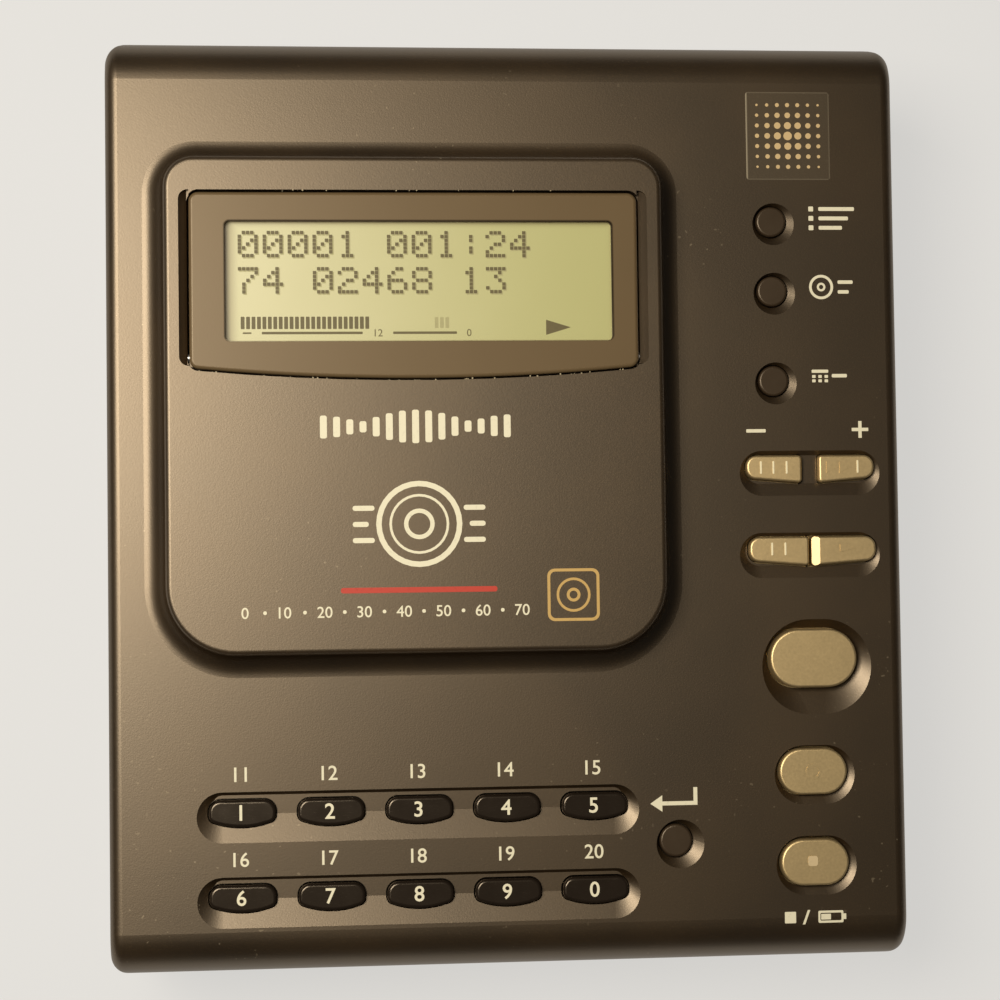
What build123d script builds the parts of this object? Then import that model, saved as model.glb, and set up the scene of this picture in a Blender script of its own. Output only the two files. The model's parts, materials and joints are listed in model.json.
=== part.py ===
from build123d import *
import os

os.makedirs("parts", exist_ok=True)

# A portable disc recorder that lies on its feet: +Z up, the front (the user's side) at -Y,
# the right-hand side at +X, and the origin in the middle of the footprint on the floor.
# Every size is in millimetres.

# ---- case ----------------------------------------------------------------------------------
case_width = 112.0            # X
case_depth = 130.5            # Y
foot_height = 0.8             # how far the feet stand below the bottom cover
parting_z = 14.0              # joint between the two covers
deck_z = 36.0                 # top face that carries the keys
wall = 1.8                    # side walls and floor
deck_wall = 2.2               # the deck is thicker, because the key dishes are sunk in it
roll_radius = 6.0             # rolled front and rear top edges
side_radius = 1.8             # left and right top edges
rear_corner = 4.0             # plan corners
front_corner = 3.0
bottom_edge = 1.4             # rounding under the case
tongue = 0.8                  # the rim that locates the covers
tongue_height = 1.2
fit_gap = 0.1                 # clearance between parts that are assembled and stay put
run_gap = 0.05                # radial clearance of a shaft in its bore
air_gap = 0.3                 # clearance beside parts that move past each other
through = 0.5                 # how far a cut runs past the face that it opens

# ---- raised block that covers the disc ------------------------------------------------------
block_left = -47.7
block_right = 21.1
block_front = -21.1
block_rear = 47.3
block_height = 7.0            # above the deck
block_rear_corner = 4.2
block_front_corner = 9.5
block_edge = 0.8
block_foot = 3.2              # hollow that leads the deck up into the block's walls
block_foot_margin = 0.3       # flat deck left between that hollow and the case's side
block_corner_least = 0.5      # smallest corner left inside a wall

# ---- tilting display -------------------------------------------------------------------------
panel_left = -44.2
panel_right = 17.5
panel_rear = 42.25
panel_front_side = 18.1       # front edge at the corners
panel_front_middle = 16.6     # front edge at the middle of its bow
panel_corner = 1.3
panel_gap = 0.3               # dark line round the panel
finger_bevel = 1.1            # width of the finger cut on either side
finger_bevel_depth = 0.9
finger_bevel_front = 18.4     # the cuts start behind this line
finger_corner = 1.3
window_thickness = 1.0
window_edge = 0.5
bezel_thickness = 3.3
bezel_wall = 1.2
bezel_lip = 0.5               # rim over the glass
back_thickness = 0.8
back_inset = 0.6
well_clearance = 1.0          # room under the panel, for its lower edge to swing
well_floor = 1.0
lcd_left = -39.4
lcd_right = 14.0
lcd_front = 21.8
lcd_rear = 38.3
lcd_corner = 0.7
lcd_margin = 1.5              # glass beyond the visible area
lcd_thickness = 1.2
hinge_y = 19.6
hinge_drop = 1.75             # hinge axis below the top of the window
hinge_pin_radius = 0.6
hinge_pin_length = 3.9
hinge_boss = 2.6
hinge_boss_wall = 0.7         # material round the pin
swing_room = 0.5              # the well's front wall is undercut by this for the window's edge
swing_lip = 0.6               # height that is left above the undercut
swing_edge = 1.0              # the undercut ends this far in front of the hinge axis
ribbon_width = 18.0           # slit in the well's floor
ribbon_front = 22.0
ribbon_slit = 1.4

# ---- keys ------------------------------------------------------------------------------------
key_travel = 0.7
key_gap = 0.2                 # sideways clearance in the hole
flange_grow = 0.6
flange_thickness = 0.8
flange_play = 0.1
stem_radius = 1.1
stem_length = 0.7
pad_width = 9.2
pad_height = 3.75
pad_bow = 0.95                # the front edge bows out by this much
pad_rear_corner = 1.6
pad_front_corner = 1.0
pad_pitch_x = 12.27
pad_pitch_y = 11.7
pad_x = -13.2                 # middle column
pad_y = -43.0                 # rear row
pad_top = 0.15                # height of the key tops above the deck
pad_edge = 0.45
trough_width = 61.6
trough_rim = 7.0
trough_rim_shift = -0.5
trough_floor_width = 57.2
trough_floor = 2.6            # steep behind this floor, a long slope in front of it
trough_floor_shift = 1.2
trough_depth = 1.0
round_radius = 2.15
round_x = 37.9
round_rows = (39.35, 29.4, 16.6)
round_top = 0.0
round_edge = 0.35
round_rim = 3.0
round_dish_shift = (0.3, -0.35)
round_dish_depth = 0.55
enter_radius = 2.3
enter_rim = 3.4
enter_dish_shift = (0.6, -0.5)
enter_dish_depth = 0.75
enter_x = 22.8
enter_y = -48.05
skip_width = 8.0
skip_height = 3.9
skip_y = 4.0
skip_inner = 42.85            # middle of the gap between the minus and plus keys
skip_spread = 1.2             # half that gap
skip_top = 0.5
pause_width = 8.55
search_width = 9.2
pair_height = 4.1
pair_y = -7.65
pair_inner = 42.68
pair_spread = 0.22            # half the gap between the pause and search keys
pair_top = 0.6
wedge_rise = 0.7              # the front edge of these keys climbs towards its outer end
wedge_outer = 1.5
wedge_inner = 0.5
wedge_inner_gap = 0.1         # how far a hole or a flange grows at the inner end
metal_edge = 0.35
search_bevel = 1.1            # the search key slopes down towards its inner end
search_bevel_drop = 0.55
pair_recess_width = 20.2
pair_recess_height = 6.4
pair_recess_shift = -0.55
pair_recess_depth = 0.55
pair_floor_width = 18.4
pair_floor_height = 4.0
play_width = 12.4
play_height = 8.2
play_x = 42.7
play_y = -22.8
play_top = 1.0
play_rim_width = 15.7
play_rim_height = 13.4
play_dish_shift = (0.65, -1.2)
play_dish_depth = 1.2
record_width = 9.7
record_height = 6.5
record_x = 42.4
record_y = -38.75
stop_x = 42.45
stop_y = -51.5
small_top = 0.8
small_dish_grow = 0.9
small_dish_shift = (0.35, -0.5)
small_dish_depth = 0.5

# ---- boards ----------------------------------------------------------------------------------
key_board_z = 29.0
board_thickness = 1.2
mat_thickness = 0.5
dome_radius = 1.8
main_board_z = 5.0
key_board_edge = 0.8          # board beyond the outermost key flange
key_board_left = -48.5
key_board_wide_rear = -35.0   # rear edge of its wide front part

# ---- disc and its cartridge ------------------------------------------------------------------
cartridge_x = 68.0            # along the way in
cartridge_y = 72.0
cartridge_thickness = 5.0
cartridge_wall = 0.9
cartridge_left = -52.0
cartridge_z = 26.0
disc_radius = 32.0
disc_thickness = 1.2
disc_lift = 0.7               # disc above the cartridge's floor
hub_radius = 8.2
hub_thickness = 0.5
hub_hole = 2.1
spindle_window = 9.5
head_window = 16.0            # width of the windows that the shutter covers
head_window_inner = 10.5      # from the disc's centre
shutter_width = 19.0
shutter_open = 18.0           # how far it stands aside when the disc is loaded
shutter_sheet = 0.25
shutter_recess = 0.35
slot_side = 0.8               # slot beyond the cartridge's sides
slot_height = 7.4
lip_thickness = 0.7

# ---- loading and reading mechanism -----------------------------------------------------------
frame_z = 8.0
frame_sheet = 1.0
frame_left = -51.5
frame_right = 20.0
frame_front = -27.0
frame_rear = 54.0
shaft_radius = 1.2
roller_radius = 3.0
roller_x = -48.0
roller_pulley = 4.5
motor_pulley = 2.0
pulley_thickness = 2.4
belt_size = 0.8
loading_motor_radius = 4.2
loading_motor_x = -46.0
loading_motor_length = 20.0
motor_shaft = 1.0
tab_sheet = 1.2
guide_gap = 0.3
guide_wall = 1.7
guide_lip = 0.8
guide_reach = 2.5
guide_left = -43.0            # where the rails start, behind the roller
guide_stop = 1.2
deck_plate_z = 18.0
deck_plate = 1.2
deck_lift = 1.6
lift_pin_radius = 1.2
lift_shoulder = 2.2
lift_pins = ((-38.0, -12.0), (6.0, -12.0), (-38.0, 36.0), (6.0, 36.0))
spindle_flange = 9.4
spindle_can = 7.5
spindle_can_depth = 5.5
spindle_shaft = 1.0
spindle_flange_thickness = 0.8
spindle_can_floor = 0.8
turntable_radius = 8.0
turntable_thickness = 4.7
cone_radius = 1.9
cone_height = 0.7
rod_radius = 1.0
rod_spread = 7.0              # each rod from the disc's centre line
rod_height = 2.4              # above the deck plate
screw_offset = 15.0           # lead screw left of the disc's centre line
pickup_width = 22.0
nut_width = 2.4               # the pickup's arm reaches this far past the lead screw's axis
pickup_length = 11.0
pickup_height = 4.7
lens_radius = 3.5
lens_height = 1.4
pickup_start = 15.5           # lens from the disc's centre at the innermost track
pickup_travel = 15.0
sled_motor_width = 7.0
sled_motor_length = 12.0
sled_motor_edge = 1.2
arm_width = 4.0
arm_sheet = 0.5

# ---- power, sockets and side controls ---------------------------------------------------------
battery_length = 84.0
battery_width = 30.0
battery_height = 16.0
battery_door_room = 16.0      # from the battery to the side with its door
battery_front_room = 5.25     # from the battery to the case's front
battery_z = 3.4
door_bottom = 3.0
door_height = 17.6
door_barrel = 0.8
door_pin = 0.4
door_end_clear = 1.4          # door beyond the battery's sides
door_pin_length = 1.2
door_pin_play = 0.2           # bore beyond the pin's end
door_grip_bars = 4
door_grip_pitch = 1.2
door_grip_bar = 0.6
door_grip_height = 8.0
door_grip_inset = 2.0
grip_depth = 0.4              # depth of the finger grooves
bay_wall = 1.2                # walls round the battery
bay_clear = 2.5               # room for the contacts
bay_top_gap = 1.0             # the bay's walls stop under the parting line
bay_rib = 2.0
bay_rib_inset = 10.0
bay_rib_end = 1.0
jack_bore = 1.8
jack_collar = 3.0
jack_body = 8.0
jack_length = 10.5
jack_end = 1.5                # closed end of a socket
collar_sink = 0.2             # collars end this far behind the wall
jack_z = 21.0
jack_row = (-31.0, -17.0, -3.0)
headphone_y = 51.0
inlet_x = 34.0
inlet_bore = 2.8
inlet_collar = 4.2
inlet_pin = 0.9
inlet_body = 10.0
inlet_depth = 8.0
inlet_pin_sink = 1.0
wheel_radius = 7.0
wheel_thickness = 3.0
wheel_y = 38.0
wheel_sink = 0.3              # rim behind the wall's outer face
wheel_slot = 9.6              # length of the slot through which a thumb turns it
wheel_notches = 36
wheel_notch_radius = 0.22
wheel_edge = 0.3
wheel_axle = 1.0
wheel_axle_end = 0.8
wheel_shoulder = 2.4
hold_y = 12.0
hold_length = 6.0
hold_height = 2.6
hold_travel = 3.0
hold_ribs = 5
hold_rib_pitch = 1.0
hold_rib_groove = 0.4
slide_plate = 0.7             # retaining plate behind the hold knob
slide_plate_reach = 1.0
control_sink = 0.1            # side knobs lie this far behind the wall
eject_y = -41.0
eject_length = 9.0
eject_height = 4.0
eject_edge = 0.35
eject_plate = 0.8             # retaining plate behind the eject button
side_control_z = 21.0
foot_radius = 5.0
foot_recess = 0.6
foot_edge = 0.4
foot_inset_side = 13.0        # feet from the case's sides
foot_inset_end = 12.25        # and from its front and rear
screw_inset_side = 5.5        # screws from the case's sides
screw_inset_end = 5.75        # and from its front and rear
screw_radius = 1.0
screw_head = 1.9
screw_head_height = 1.4
cross_length = 2.4            # cross recess in the screw heads
cross_width = 0.5
cross_depth = 0.8
screw_seat = 0.8              # the screw heads sit this deep under the bottom cover
screw_reach = 2.0             # screw tips stop this far before the end of their bores
boss_radius = 3.0
boss_roof = 8.0               # solid length of a boss under the deck
boss_root = 1.0               # posts start inside the floor
peg_radius = 1.6
board_post_radius = 2.2
boss_notch = 8.0              # square cut out of a board round a boss

# ---- levels and centres worked out from the sizes above ----------------------------------------
case_bottom = foot_height
floor_z = case_bottom + wall
under_deck = deck_z - deck_wall
block_z = deck_z + block_height
block_ceiling = block_z - wall
block_x = (block_left + block_right) / 2
block_y = (block_front + block_rear) / 2
panel_x = (panel_left + panel_right) / 2
window_z = block_z - window_thickness
bezel_z = window_z - bezel_thickness
back_z = bezel_z - back_thickness
hinge_z = block_z - hinge_drop
well_z = back_z - well_clearance
disc_x = cartridge_left + cartridge_x / 2
disc_y = block_y
cartridge_front = disc_y - cartridge_y / 2
cartridge_rear = disc_y + cartridge_y / 2
cartridge_top = cartridge_z + cartridge_thickness
disc_z = cartridge_z + cartridge_wall + disc_lift
slot_middle = cartridge_z + cartridge_thickness / 2
side_left = -case_width / 2
side_right = case_width / 2
side_rear = case_depth / 2
side_front = -case_depth / 2
battery_left = side_right - battery_door_room - battery_length
battery_front = side_front + battery_front_room
foot_x = side_right - foot_inset_side
foot_y = side_rear - foot_inset_end
screw_x = side_right - screw_inset_side
screw_y = side_rear - screw_inset_end
flange_z = under_deck - flange_play - flange_thickness
stem_z = flange_z - stem_length
mat_z = key_board_z + board_thickness
dome_top = stem_z - key_travel - fit_gap
frame_top = frame_z + frame_sheet
roller_z = cartridge_z - guide_gap - roller_radius
loading_motor_z = frame_top + fit_gap + loading_motor_radius
deck_top = deck_plate_z + deck_plate
rod_z = deck_top + rod_height
screw_axis_x = disc_x - screw_offset
pickup_nut_x = screw_axis_x - nut_width
pickup_right = disc_x + pickup_width / 2
lens_y = disc_y - pickup_start
pickup_front = lens_y - pickup_length / 2 - 0.5
pickup_rear = pickup_front + pickup_length
guide_low = cartridge_z - guide_gap
guide_high = cartridge_top + guide_gap
tab_front = disc_y - cartridge_y / 2 - 1.7
tab_rear = cartridge_rear + 0.9
hinge_door_y = battery_front + battery_width + door_end_clear
door_front = battery_front - door_end_clear
door_top = door_bottom + door_height
barrel_x = side_right - door_barrel
wheel_x = side_right - wheel_sink - wheel_radius
wheel_low = side_control_z - wheel_thickness / 2
post_foot_z = case_bottom + boss_root
screw_head_z = case_bottom + screw_seat
# from inside to outside each wall, a little past both faces
left_wall = (side_left - through, side_left + wall + through)
right_wall = (side_right - wall - through, side_right + through)
rear_wall = (side_rear - wall - through, side_rear + through)


# ---- outlines, each drawn about its own origin and grown by a clearance --------------------------
def case_outline(inset):
    """The plan of the case, set in by a wall."""
    with BuildSketch(mode=Mode.PRIVATE) as outline:
        Rectangle(case_width - 2 * inset, case_depth - 2 * inset)
        fillet(outline.vertices().group_by(Axis.Y)[-1], rear_corner - inset)
        fillet(outline.vertices().group_by(Axis.Y)[0], front_corner - inset)
    return outline.sketch


def block_outline(inset):
    """The plan of the raised block: small corners at the rear, large ones in front."""
    with BuildSketch(mode=Mode.PRIVATE) as outline:
        with Locations((block_x, block_y)):
            Rectangle(block_right - block_left - 2 * inset, block_rear - block_front - 2 * inset)
        fillet(outline.vertices().group_by(Axis.Y)[-1], max(block_rear_corner - inset, block_corner_least))
        fillet(outline.vertices().group_by(Axis.Y)[0], max(block_front_corner - inset, block_corner_least))
    return outline.sketch


def panel_outline(grow):
    """The display panel: three straight sides and a front edge that bows towards the user."""
    with BuildSketch(mode=Mode.PRIVATE) as outline:
        with BuildLine():
            Polyline(
                (panel_left, panel_front_side),
                (panel_left, panel_rear),
                (panel_right, panel_rear),
                (panel_right, panel_front_side),
            )
            ThreePointArc(
                (panel_right, panel_front_side),
                (panel_x, panel_front_middle),
                (panel_left, panel_front_side),
            )
        make_face()
        fillet(outline.vertices(), panel_corner)
        if grow:
            offset(amount=grow)
    return outline.sketch


def pad_outline(grow):
    """A number key: straight behind, round at the ends and bowed in front."""
    half = pad_width / 2
    rear = pad_height / 2
    with BuildSketch(mode=Mode.PRIVATE) as outline:
        with BuildLine():
            Polyline((-half, pad_bow - rear), (-half, rear), (half, rear), (half, pad_bow - rear))
            ThreePointArc((half, pad_bow - rear), (0, -rear), (-half, pad_bow - rear))
        make_face()
        fillet(outline.vertices().group_by(Axis.Y)[-1], pad_rear_corner)
        fillet(outline.vertices().group_by(Axis.Y)[0], pad_front_corner)
        if grow:
            offset(amount=grow)
    return outline.sketch


def round_outline(grow):
    """A small round key."""
    with BuildSketch(mode=Mode.PRIVATE) as outline:
        Circle(round_radius + grow)
    return outline.sketch


def enter_outline(grow):
    """The round key beside the number keys."""
    with BuildSketch(mode=Mode.PRIVATE) as outline:
        Circle(enter_radius + grow)
    return outline.sketch


def wedge_outline(width, height, side, grow):
    """Half of a bowed pair of keys, from its inner end at x = 0 to its outer end."""
    inner_x = -side * min(grow, wedge_inner_gap)
    outer_x = side * (width + grow)
    rear_y = height / 2 + grow
    with BuildSketch(mode=Mode.PRIVATE) as outline:
        Polygon(
            (inner_x, rear_y),
            (outer_x, rear_y),
            (outer_x, wedge_rise - rear_y),
            (inner_x, -rear_y),
            align=None,
        )
        fillet(outline.vertices().sort_by(Axis.X, reverse=side < 0)[-2:], wedge_outer + grow)
        fillet(outline.vertices().sort_by(Axis.X, reverse=side < 0)[:2], wedge_inner)
    return outline.sketch


def minus_outline(grow):
    """The left half of the skip pair."""
    return wedge_outline(skip_width, skip_height, -1, grow)


def plus_outline(grow):
    """The right half of the skip pair."""
    return wedge_outline(skip_width, skip_height, 1, grow)


def pause_outline(grow):
    """The left half of the lower pair."""
    return wedge_outline(pause_width, pair_height, -1, grow)


def search_outline(grow):
    """The right half of the lower pair."""
    return wedge_outline(search_width, pair_height, 1, grow)


def pair_hole_outline():
    """The one hole that the pause and search keys share, about the middle between them."""
    left_x = -pair_spread - pause_width - key_gap
    right_x = pair_spread + search_width + key_gap
    rear_y = pair_height / 2 + key_gap
    with BuildSketch(mode=Mode.PRIVATE) as outline:
        Polygon(
            (left_x, rear_y),
            (right_x, rear_y),
            (right_x, wedge_rise - rear_y),
            (0, -rear_y),
            (left_x, wedge_rise - rear_y),
            align=None,
        )
        corners = outline.vertices().sort_by(Axis.X)
        fillet(corners[:2] + corners[-2:], wedge_outer + key_gap)
    return outline.sketch


def play_outline(grow):
    """The large key with round ends."""
    with BuildSketch(mode=Mode.PRIVATE) as outline:
        SlotOverall(play_width + 2 * grow, play_height + 2 * grow)
    return outline.sketch


def record_outline(grow):
    """The record and stop keys, alike."""
    with BuildSketch(mode=Mode.PRIVATE) as outline:
        SlotOverall(record_width + 2 * grow, record_height + 2 * grow)
    return outline.sketch


def place(x, y, z):
    """A level workplane at a point."""
    return Plane(origin=(x, y, z))


def plate(x0, x1, y0, y1, z0, z1, mode=Mode.ADD):
    """A straight-sided block between six planes, in the active part."""
    with Locations(((x0 + x1) / 2, (y0 + y1) / 2, (z0 + z1) / 2)):
        Box(x1 - x0, y1 - y0, z1 - z0, mode=mode)


def post(x, y, z0, z1, radius, mode=Mode.ADD):
    """An upright round bar in the active part."""
    with BuildSketch(place(x, y, z0)) as section:
        Circle(radius)
    extrude(section.sketch, amount=z1 - z0, mode=mode)


def bar_along_y(x, z, y0, y1, radius, mode=Mode.ADD):
    """A round bar that runs from front to rear in the active part."""
    with BuildSketch(Plane.XZ.offset(-y1)) as section:
        with Locations((x, z)):
            Circle(radius)
    extrude(section.sketch, amount=y1 - y0, mode=mode)


def bar_along_x(y, z, x0, x1, radius, mode=Mode.ADD):
    """A round bar that runs from left to right in the active part."""
    with BuildSketch(Plane.YZ.offset(x0)) as section:
        with Locations((y, z)):
            Circle(radius)
    extrude(section.sketch, amount=x1 - x0, mode=mode)


# Every key: its name, outline, centre, height above the deck and the rounding of its top edge.
pad_digits = (("1", "2", "3", "4", "5"), ("6", "7", "8", "9", "0"))
keys = []
for row, digits in enumerate(pad_digits):
    for column, digit in enumerate(digits):
        key_x = pad_x + (column - 2) * pad_pitch_x
        key_y = pad_y - row * pad_pitch_y
        keys.append(("number_key_" + digit, pad_outline, key_x, key_y, pad_top, pad_edge))
for name, key_y in zip(("track_key", "disc_key", "date_key"), round_rows):
    keys.append((name, round_outline, round_x, key_y, round_top, round_edge))
keys.append(("enter_key", enter_outline, enter_x, enter_y, round_top, round_edge))
keys.append(("minus_key", minus_outline, skip_inner - skip_spread, skip_y, skip_top, metal_edge))
keys.append(("plus_key", plus_outline, skip_inner + skip_spread, skip_y, skip_top, metal_edge))
keys.append(("pause_key", pause_outline, pair_inner - pair_spread, pair_y, pair_top, metal_edge))
keys.append(("search_key", search_outline, pair_inner + pair_spread, pair_y, pair_top, metal_edge))
keys.append(("play_key", play_outline, play_x, play_y, play_top, metal_edge))
keys.append(("record_key", record_outline, record_x, record_y, small_top, metal_edge))
keys.append(("stop_key", record_outline, stop_x, stop_y, small_top, metal_edge))

# Where each key's stem stands: the paired keys are drawn from their inner end.
stem_shift = {"minus_key": -skip_width / 2, "plus_key": skip_width / 2}
stem_shift["pause_key"] = -pause_width / 2
stem_shift["search_key"] = search_width / 2
shared_hole = ("pause_key", "search_key")

boss_places = [(sx * screw_x, sy * screw_y) for sx in (-1, 1) for sy in (-1, 1)]
boss_places += [(-screw_x, -30.5), (screw_x, 25.5)]
foot_places = [(sx * foot_x, sy * foot_y) for sx in (-1, 1) for sy in (-1, 1)]
frame_posts = [(-42.0, -22.5), (14.0, -22.5), (-40.0, 50.5), (14.0, 50.5)]
board_posts = [(-50.0, 20.0), (30.0, -20.0), (30.0, 56.0), (-20.0, 58.5)]
key_board_posts = [(-46.5, -49.0), (4.8, -49.0), (30.0, 22.0), (30.0, -15.0), (30.0, -44.0)]


# ---- top cover ---------------------------------------------------------------------------------
def rolled_case(inset, roof_z):
    """The upper half of the case as a closed block: rolled front and rear, round plan corners."""
    edge = max(side_radius - inset, 0.0)
    with BuildPart(mode=Mode.PRIVATE) as block:
        with BuildSketch(Plane.YZ.offset(inset - case_width / 2)) as profile:
            with Locations((0, (parting_z + roof_z) / 2)):
                Rectangle(case_depth - 2 * inset, roof_z - parting_z)
            fillet(profile.vertices().group_by(Axis.Y)[-1], roll_radius - inset)
        extrude(amount=case_width - 2 * inset)
        if edge > 0:
            ends = block.faces().filter_by(Axis.X).edges()
            fillet(ends.filter_by(lambda e: e.bounding_box().max.Z > parting_z + 0.01), edge)
        with BuildSketch(place(0, 0, parting_z)):
            add(case_outline(inset))
        extrude(amount=roof_z - parting_z, mode=Mode.INTERSECT)
    return block.part


def finger_cuts():
    """Bevels along the display's sides, round at their corners, where a finger lifts its rear edge."""
    cuts_rear = panel_rear + panel_gap
    cuts_width = panel_right - panel_left + 2 * (panel_gap + finger_bevel)
    cuts_length = cuts_rear - finger_bevel_front
    with BuildPart(mode=Mode.PRIVATE) as cuts:
        with BuildSketch(Plane.XZ.offset(-cuts_rear)):
            for side, edge_x in ((-1, panel_left), (1, panel_right)):
                Polygon(
                    (edge_x, block_z),
                    (edge_x + side * (panel_gap + finger_bevel), block_z),
                    (edge_x + side * panel_gap, block_z - finger_bevel_depth),
                    (edge_x, block_z - finger_bevel_depth),
                    align=None,
                )
        extrude(amount=cuts_length)
        with BuildSketch(place(panel_x, cuts_rear - cuts_length / 2, block_z)):
            RectangleRounded(cuts_width, cuts_length, finger_corner)
        extrude(amount=-finger_bevel_depth, mode=Mode.INTERSECT)
    return cuts.part


case_block = rolled_case(0, deck_z)
case_room = rolled_case(wall, under_deck)
display_finger_cuts = finger_cuts()
side_strip = case_width / 2 - side_radius - max(-block_left, block_right)
hollow_radius = min(block_foot, side_strip - block_foot_margin)
with BuildPart() as top_cover:
    add(case_block)
    with BuildSketch(place(0, 0, under_deck)):
        add(block_outline(0))
    extrude(amount=block_z - under_deck)
    rim = top_cover.faces().sort_by(Axis.Z)[-1].edges()
    fillet(rim, block_edge)
    if hollow_radius > 0:
        level = top_cover.edges().filter_by_position(Axis.Z, deck_z - 0.01, deck_z + 0.01)
        in_block = level.filter_by_position(Axis.X, block_left - 0.01, block_right + 0.01)
        fillet(in_block.filter_by_position(Axis.Y, block_front - 0.01, block_rear + 0.01), hollow_radius)
    add(case_room, mode=Mode.SUBTRACT)
    # room over the disc, lower where the display's well hangs down
    with BuildSketch(place(0, 0, under_deck)) as room:
        add(block_outline(wall))
    extrude(amount=well_z - well_floor - under_deck, mode=Mode.SUBTRACT)
    with BuildSketch(place(0, 0, under_deck)) as front_room:
        add(block_outline(wall))
        with Locations((block_x, panel_front_middle - bezel_wall - swing_room + block_rear)):
            Rectangle(case_width, 2 * block_rear, mode=Mode.SUBTRACT)
    extrude(amount=block_ceiling - under_deck, mode=Mode.SUBTRACT)
    # the display's well, its finger cuts and its hinge bores
    with BuildSketch(place(0, 0, well_z)):
        add(panel_outline(panel_gap))
    extrude(amount=block_z - well_z, mode=Mode.SUBTRACT)
    with BuildSketch(place(0, 0, well_z)):
        add(panel_outline(panel_gap + swing_room))
        with Locations((panel_x, panel_rear)):
            Rectangle(case_width, 2 * (panel_rear - hinge_y + swing_edge), mode=Mode.SUBTRACT)
    extrude(amount=block_z - swing_lip - well_z, mode=Mode.SUBTRACT)
    add(display_finger_cuts, mode=Mode.SUBTRACT)
    for side, edge_x in ((-1, panel_left), (1, panel_right)):
        reach = side * (hinge_pin_length - hinge_boss / 2 + air_gap)
        x_ends = sorted((edge_x, edge_x + reach))
        bar_along_x(hinge_y, hinge_z, x_ends[0], x_ends[1], hinge_pin_radius + run_gap, Mode.SUBTRACT)
    # a slit in the well's floor for the display's ribbon
    plate(
        panel_x - ribbon_width / 2, panel_x + ribbon_width / 2, ribbon_front, ribbon_front + ribbon_slit,
        well_z - well_floor - through, well_z + through, Mode.SUBTRACT,
    )
    # troughs of the number keys: steep behind, a long slope in front
    for row in range(len(pad_digits)):
        row_y = pad_y - row * pad_pitch_y
        with BuildSketch(place(pad_x, row_y + trough_rim_shift, deck_z)):
            SlotOverall(trough_width, trough_rim)
        with BuildSketch(place(pad_x, row_y + trough_floor_shift, deck_z - trough_depth)):
            SlotOverall(trough_floor_width, trough_floor)
        loft(mode=Mode.SUBTRACT)
    # dishes round the single keys, set off to the front and right
    for key_y in round_rows:
        with BuildSketch(place(round_x + round_dish_shift[0], key_y + round_dish_shift[1], deck_z)):
            Circle(round_rim)
        with BuildSketch(place(round_x, key_y, deck_z - round_dish_depth)):
            Circle(round_radius + key_gap)
        loft(mode=Mode.SUBTRACT)
    with BuildSketch(place(enter_x + enter_dish_shift[0], enter_y + enter_dish_shift[1], deck_z)):
        Circle(enter_rim)
    with BuildSketch(place(enter_x, enter_y, deck_z - enter_dish_depth)):
        Circle(enter_radius + key_gap)
    loft(mode=Mode.SUBTRACT)
    with BuildSketch(place(play_x + play_dish_shift[0], play_y + play_dish_shift[1], deck_z)):
        SlotOverall(play_rim_width, play_rim_height)
    with BuildSketch(place(play_x, play_y, deck_z - play_dish_depth)):
        add(play_outline(key_gap))
    loft(mode=Mode.SUBTRACT)
    for key_x, key_y in ((record_x, record_y), (stop_x, stop_y)):
        with BuildSketch(place(key_x + small_dish_shift[0], key_y + small_dish_shift[1], deck_z)):
            add(record_outline(small_dish_grow))
        with BuildSketch(place(key_x, key_y, deck_z - small_dish_depth)):
            add(record_outline(key_gap))
        loft(mode=Mode.SUBTRACT)
    for key_y, middle_x in ((skip_y, skip_inner), (pair_y, pair_inner)):
        with BuildSketch(place(middle_x, key_y + pair_recess_shift, deck_z)):
            SlotOverall(pair_recess_width, pair_recess_height)
        with BuildSketch(place(middle_x, key_y, deck_z - pair_recess_depth)):
            SlotOverall(pair_floor_width, pair_floor_height)
        loft(mode=Mode.SUBTRACT)
    for name, outline, key_x, key_y, top, edge in keys:
        if name not in shared_hole:
            with BuildSketch(place(key_x, key_y, under_deck)):
                add(outline(key_gap))
            extrude(amount=deck_wall, mode=Mode.SUBTRACT)
    with BuildSketch(place(pair_inner, pair_y, under_deck)):
        add(pair_hole_outline())
    extrude(amount=deck_wall, mode=Mode.SUBTRACT)
    # groove that takes the bottom cover's tongue
    with BuildSketch(place(0, 0, parting_z)):
        add(case_outline(wall - tongue - fit_gap))
    extrude(amount=tongue_height + fit_gap, mode=Mode.SUBTRACT)
    # slot for the cartridge, in the left wall
    plate(
        left_wall[0], left_wall[1], cartridge_front - slot_side, cartridge_rear + slot_side,
        slot_middle - slot_height / 2, slot_middle + slot_height / 2, Mode.SUBTRACT,
    )
    # screw bosses and the key board's pegs
    for x, y in boss_places:
        post(x, y, parting_z, under_deck, boss_radius)
        post(x, y, parting_z, under_deck - boss_roof, screw_radius, Mode.SUBTRACT)
    for x, y in key_board_posts:
        post(x, y, mat_z + mat_thickness, under_deck, peg_radius)
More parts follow.
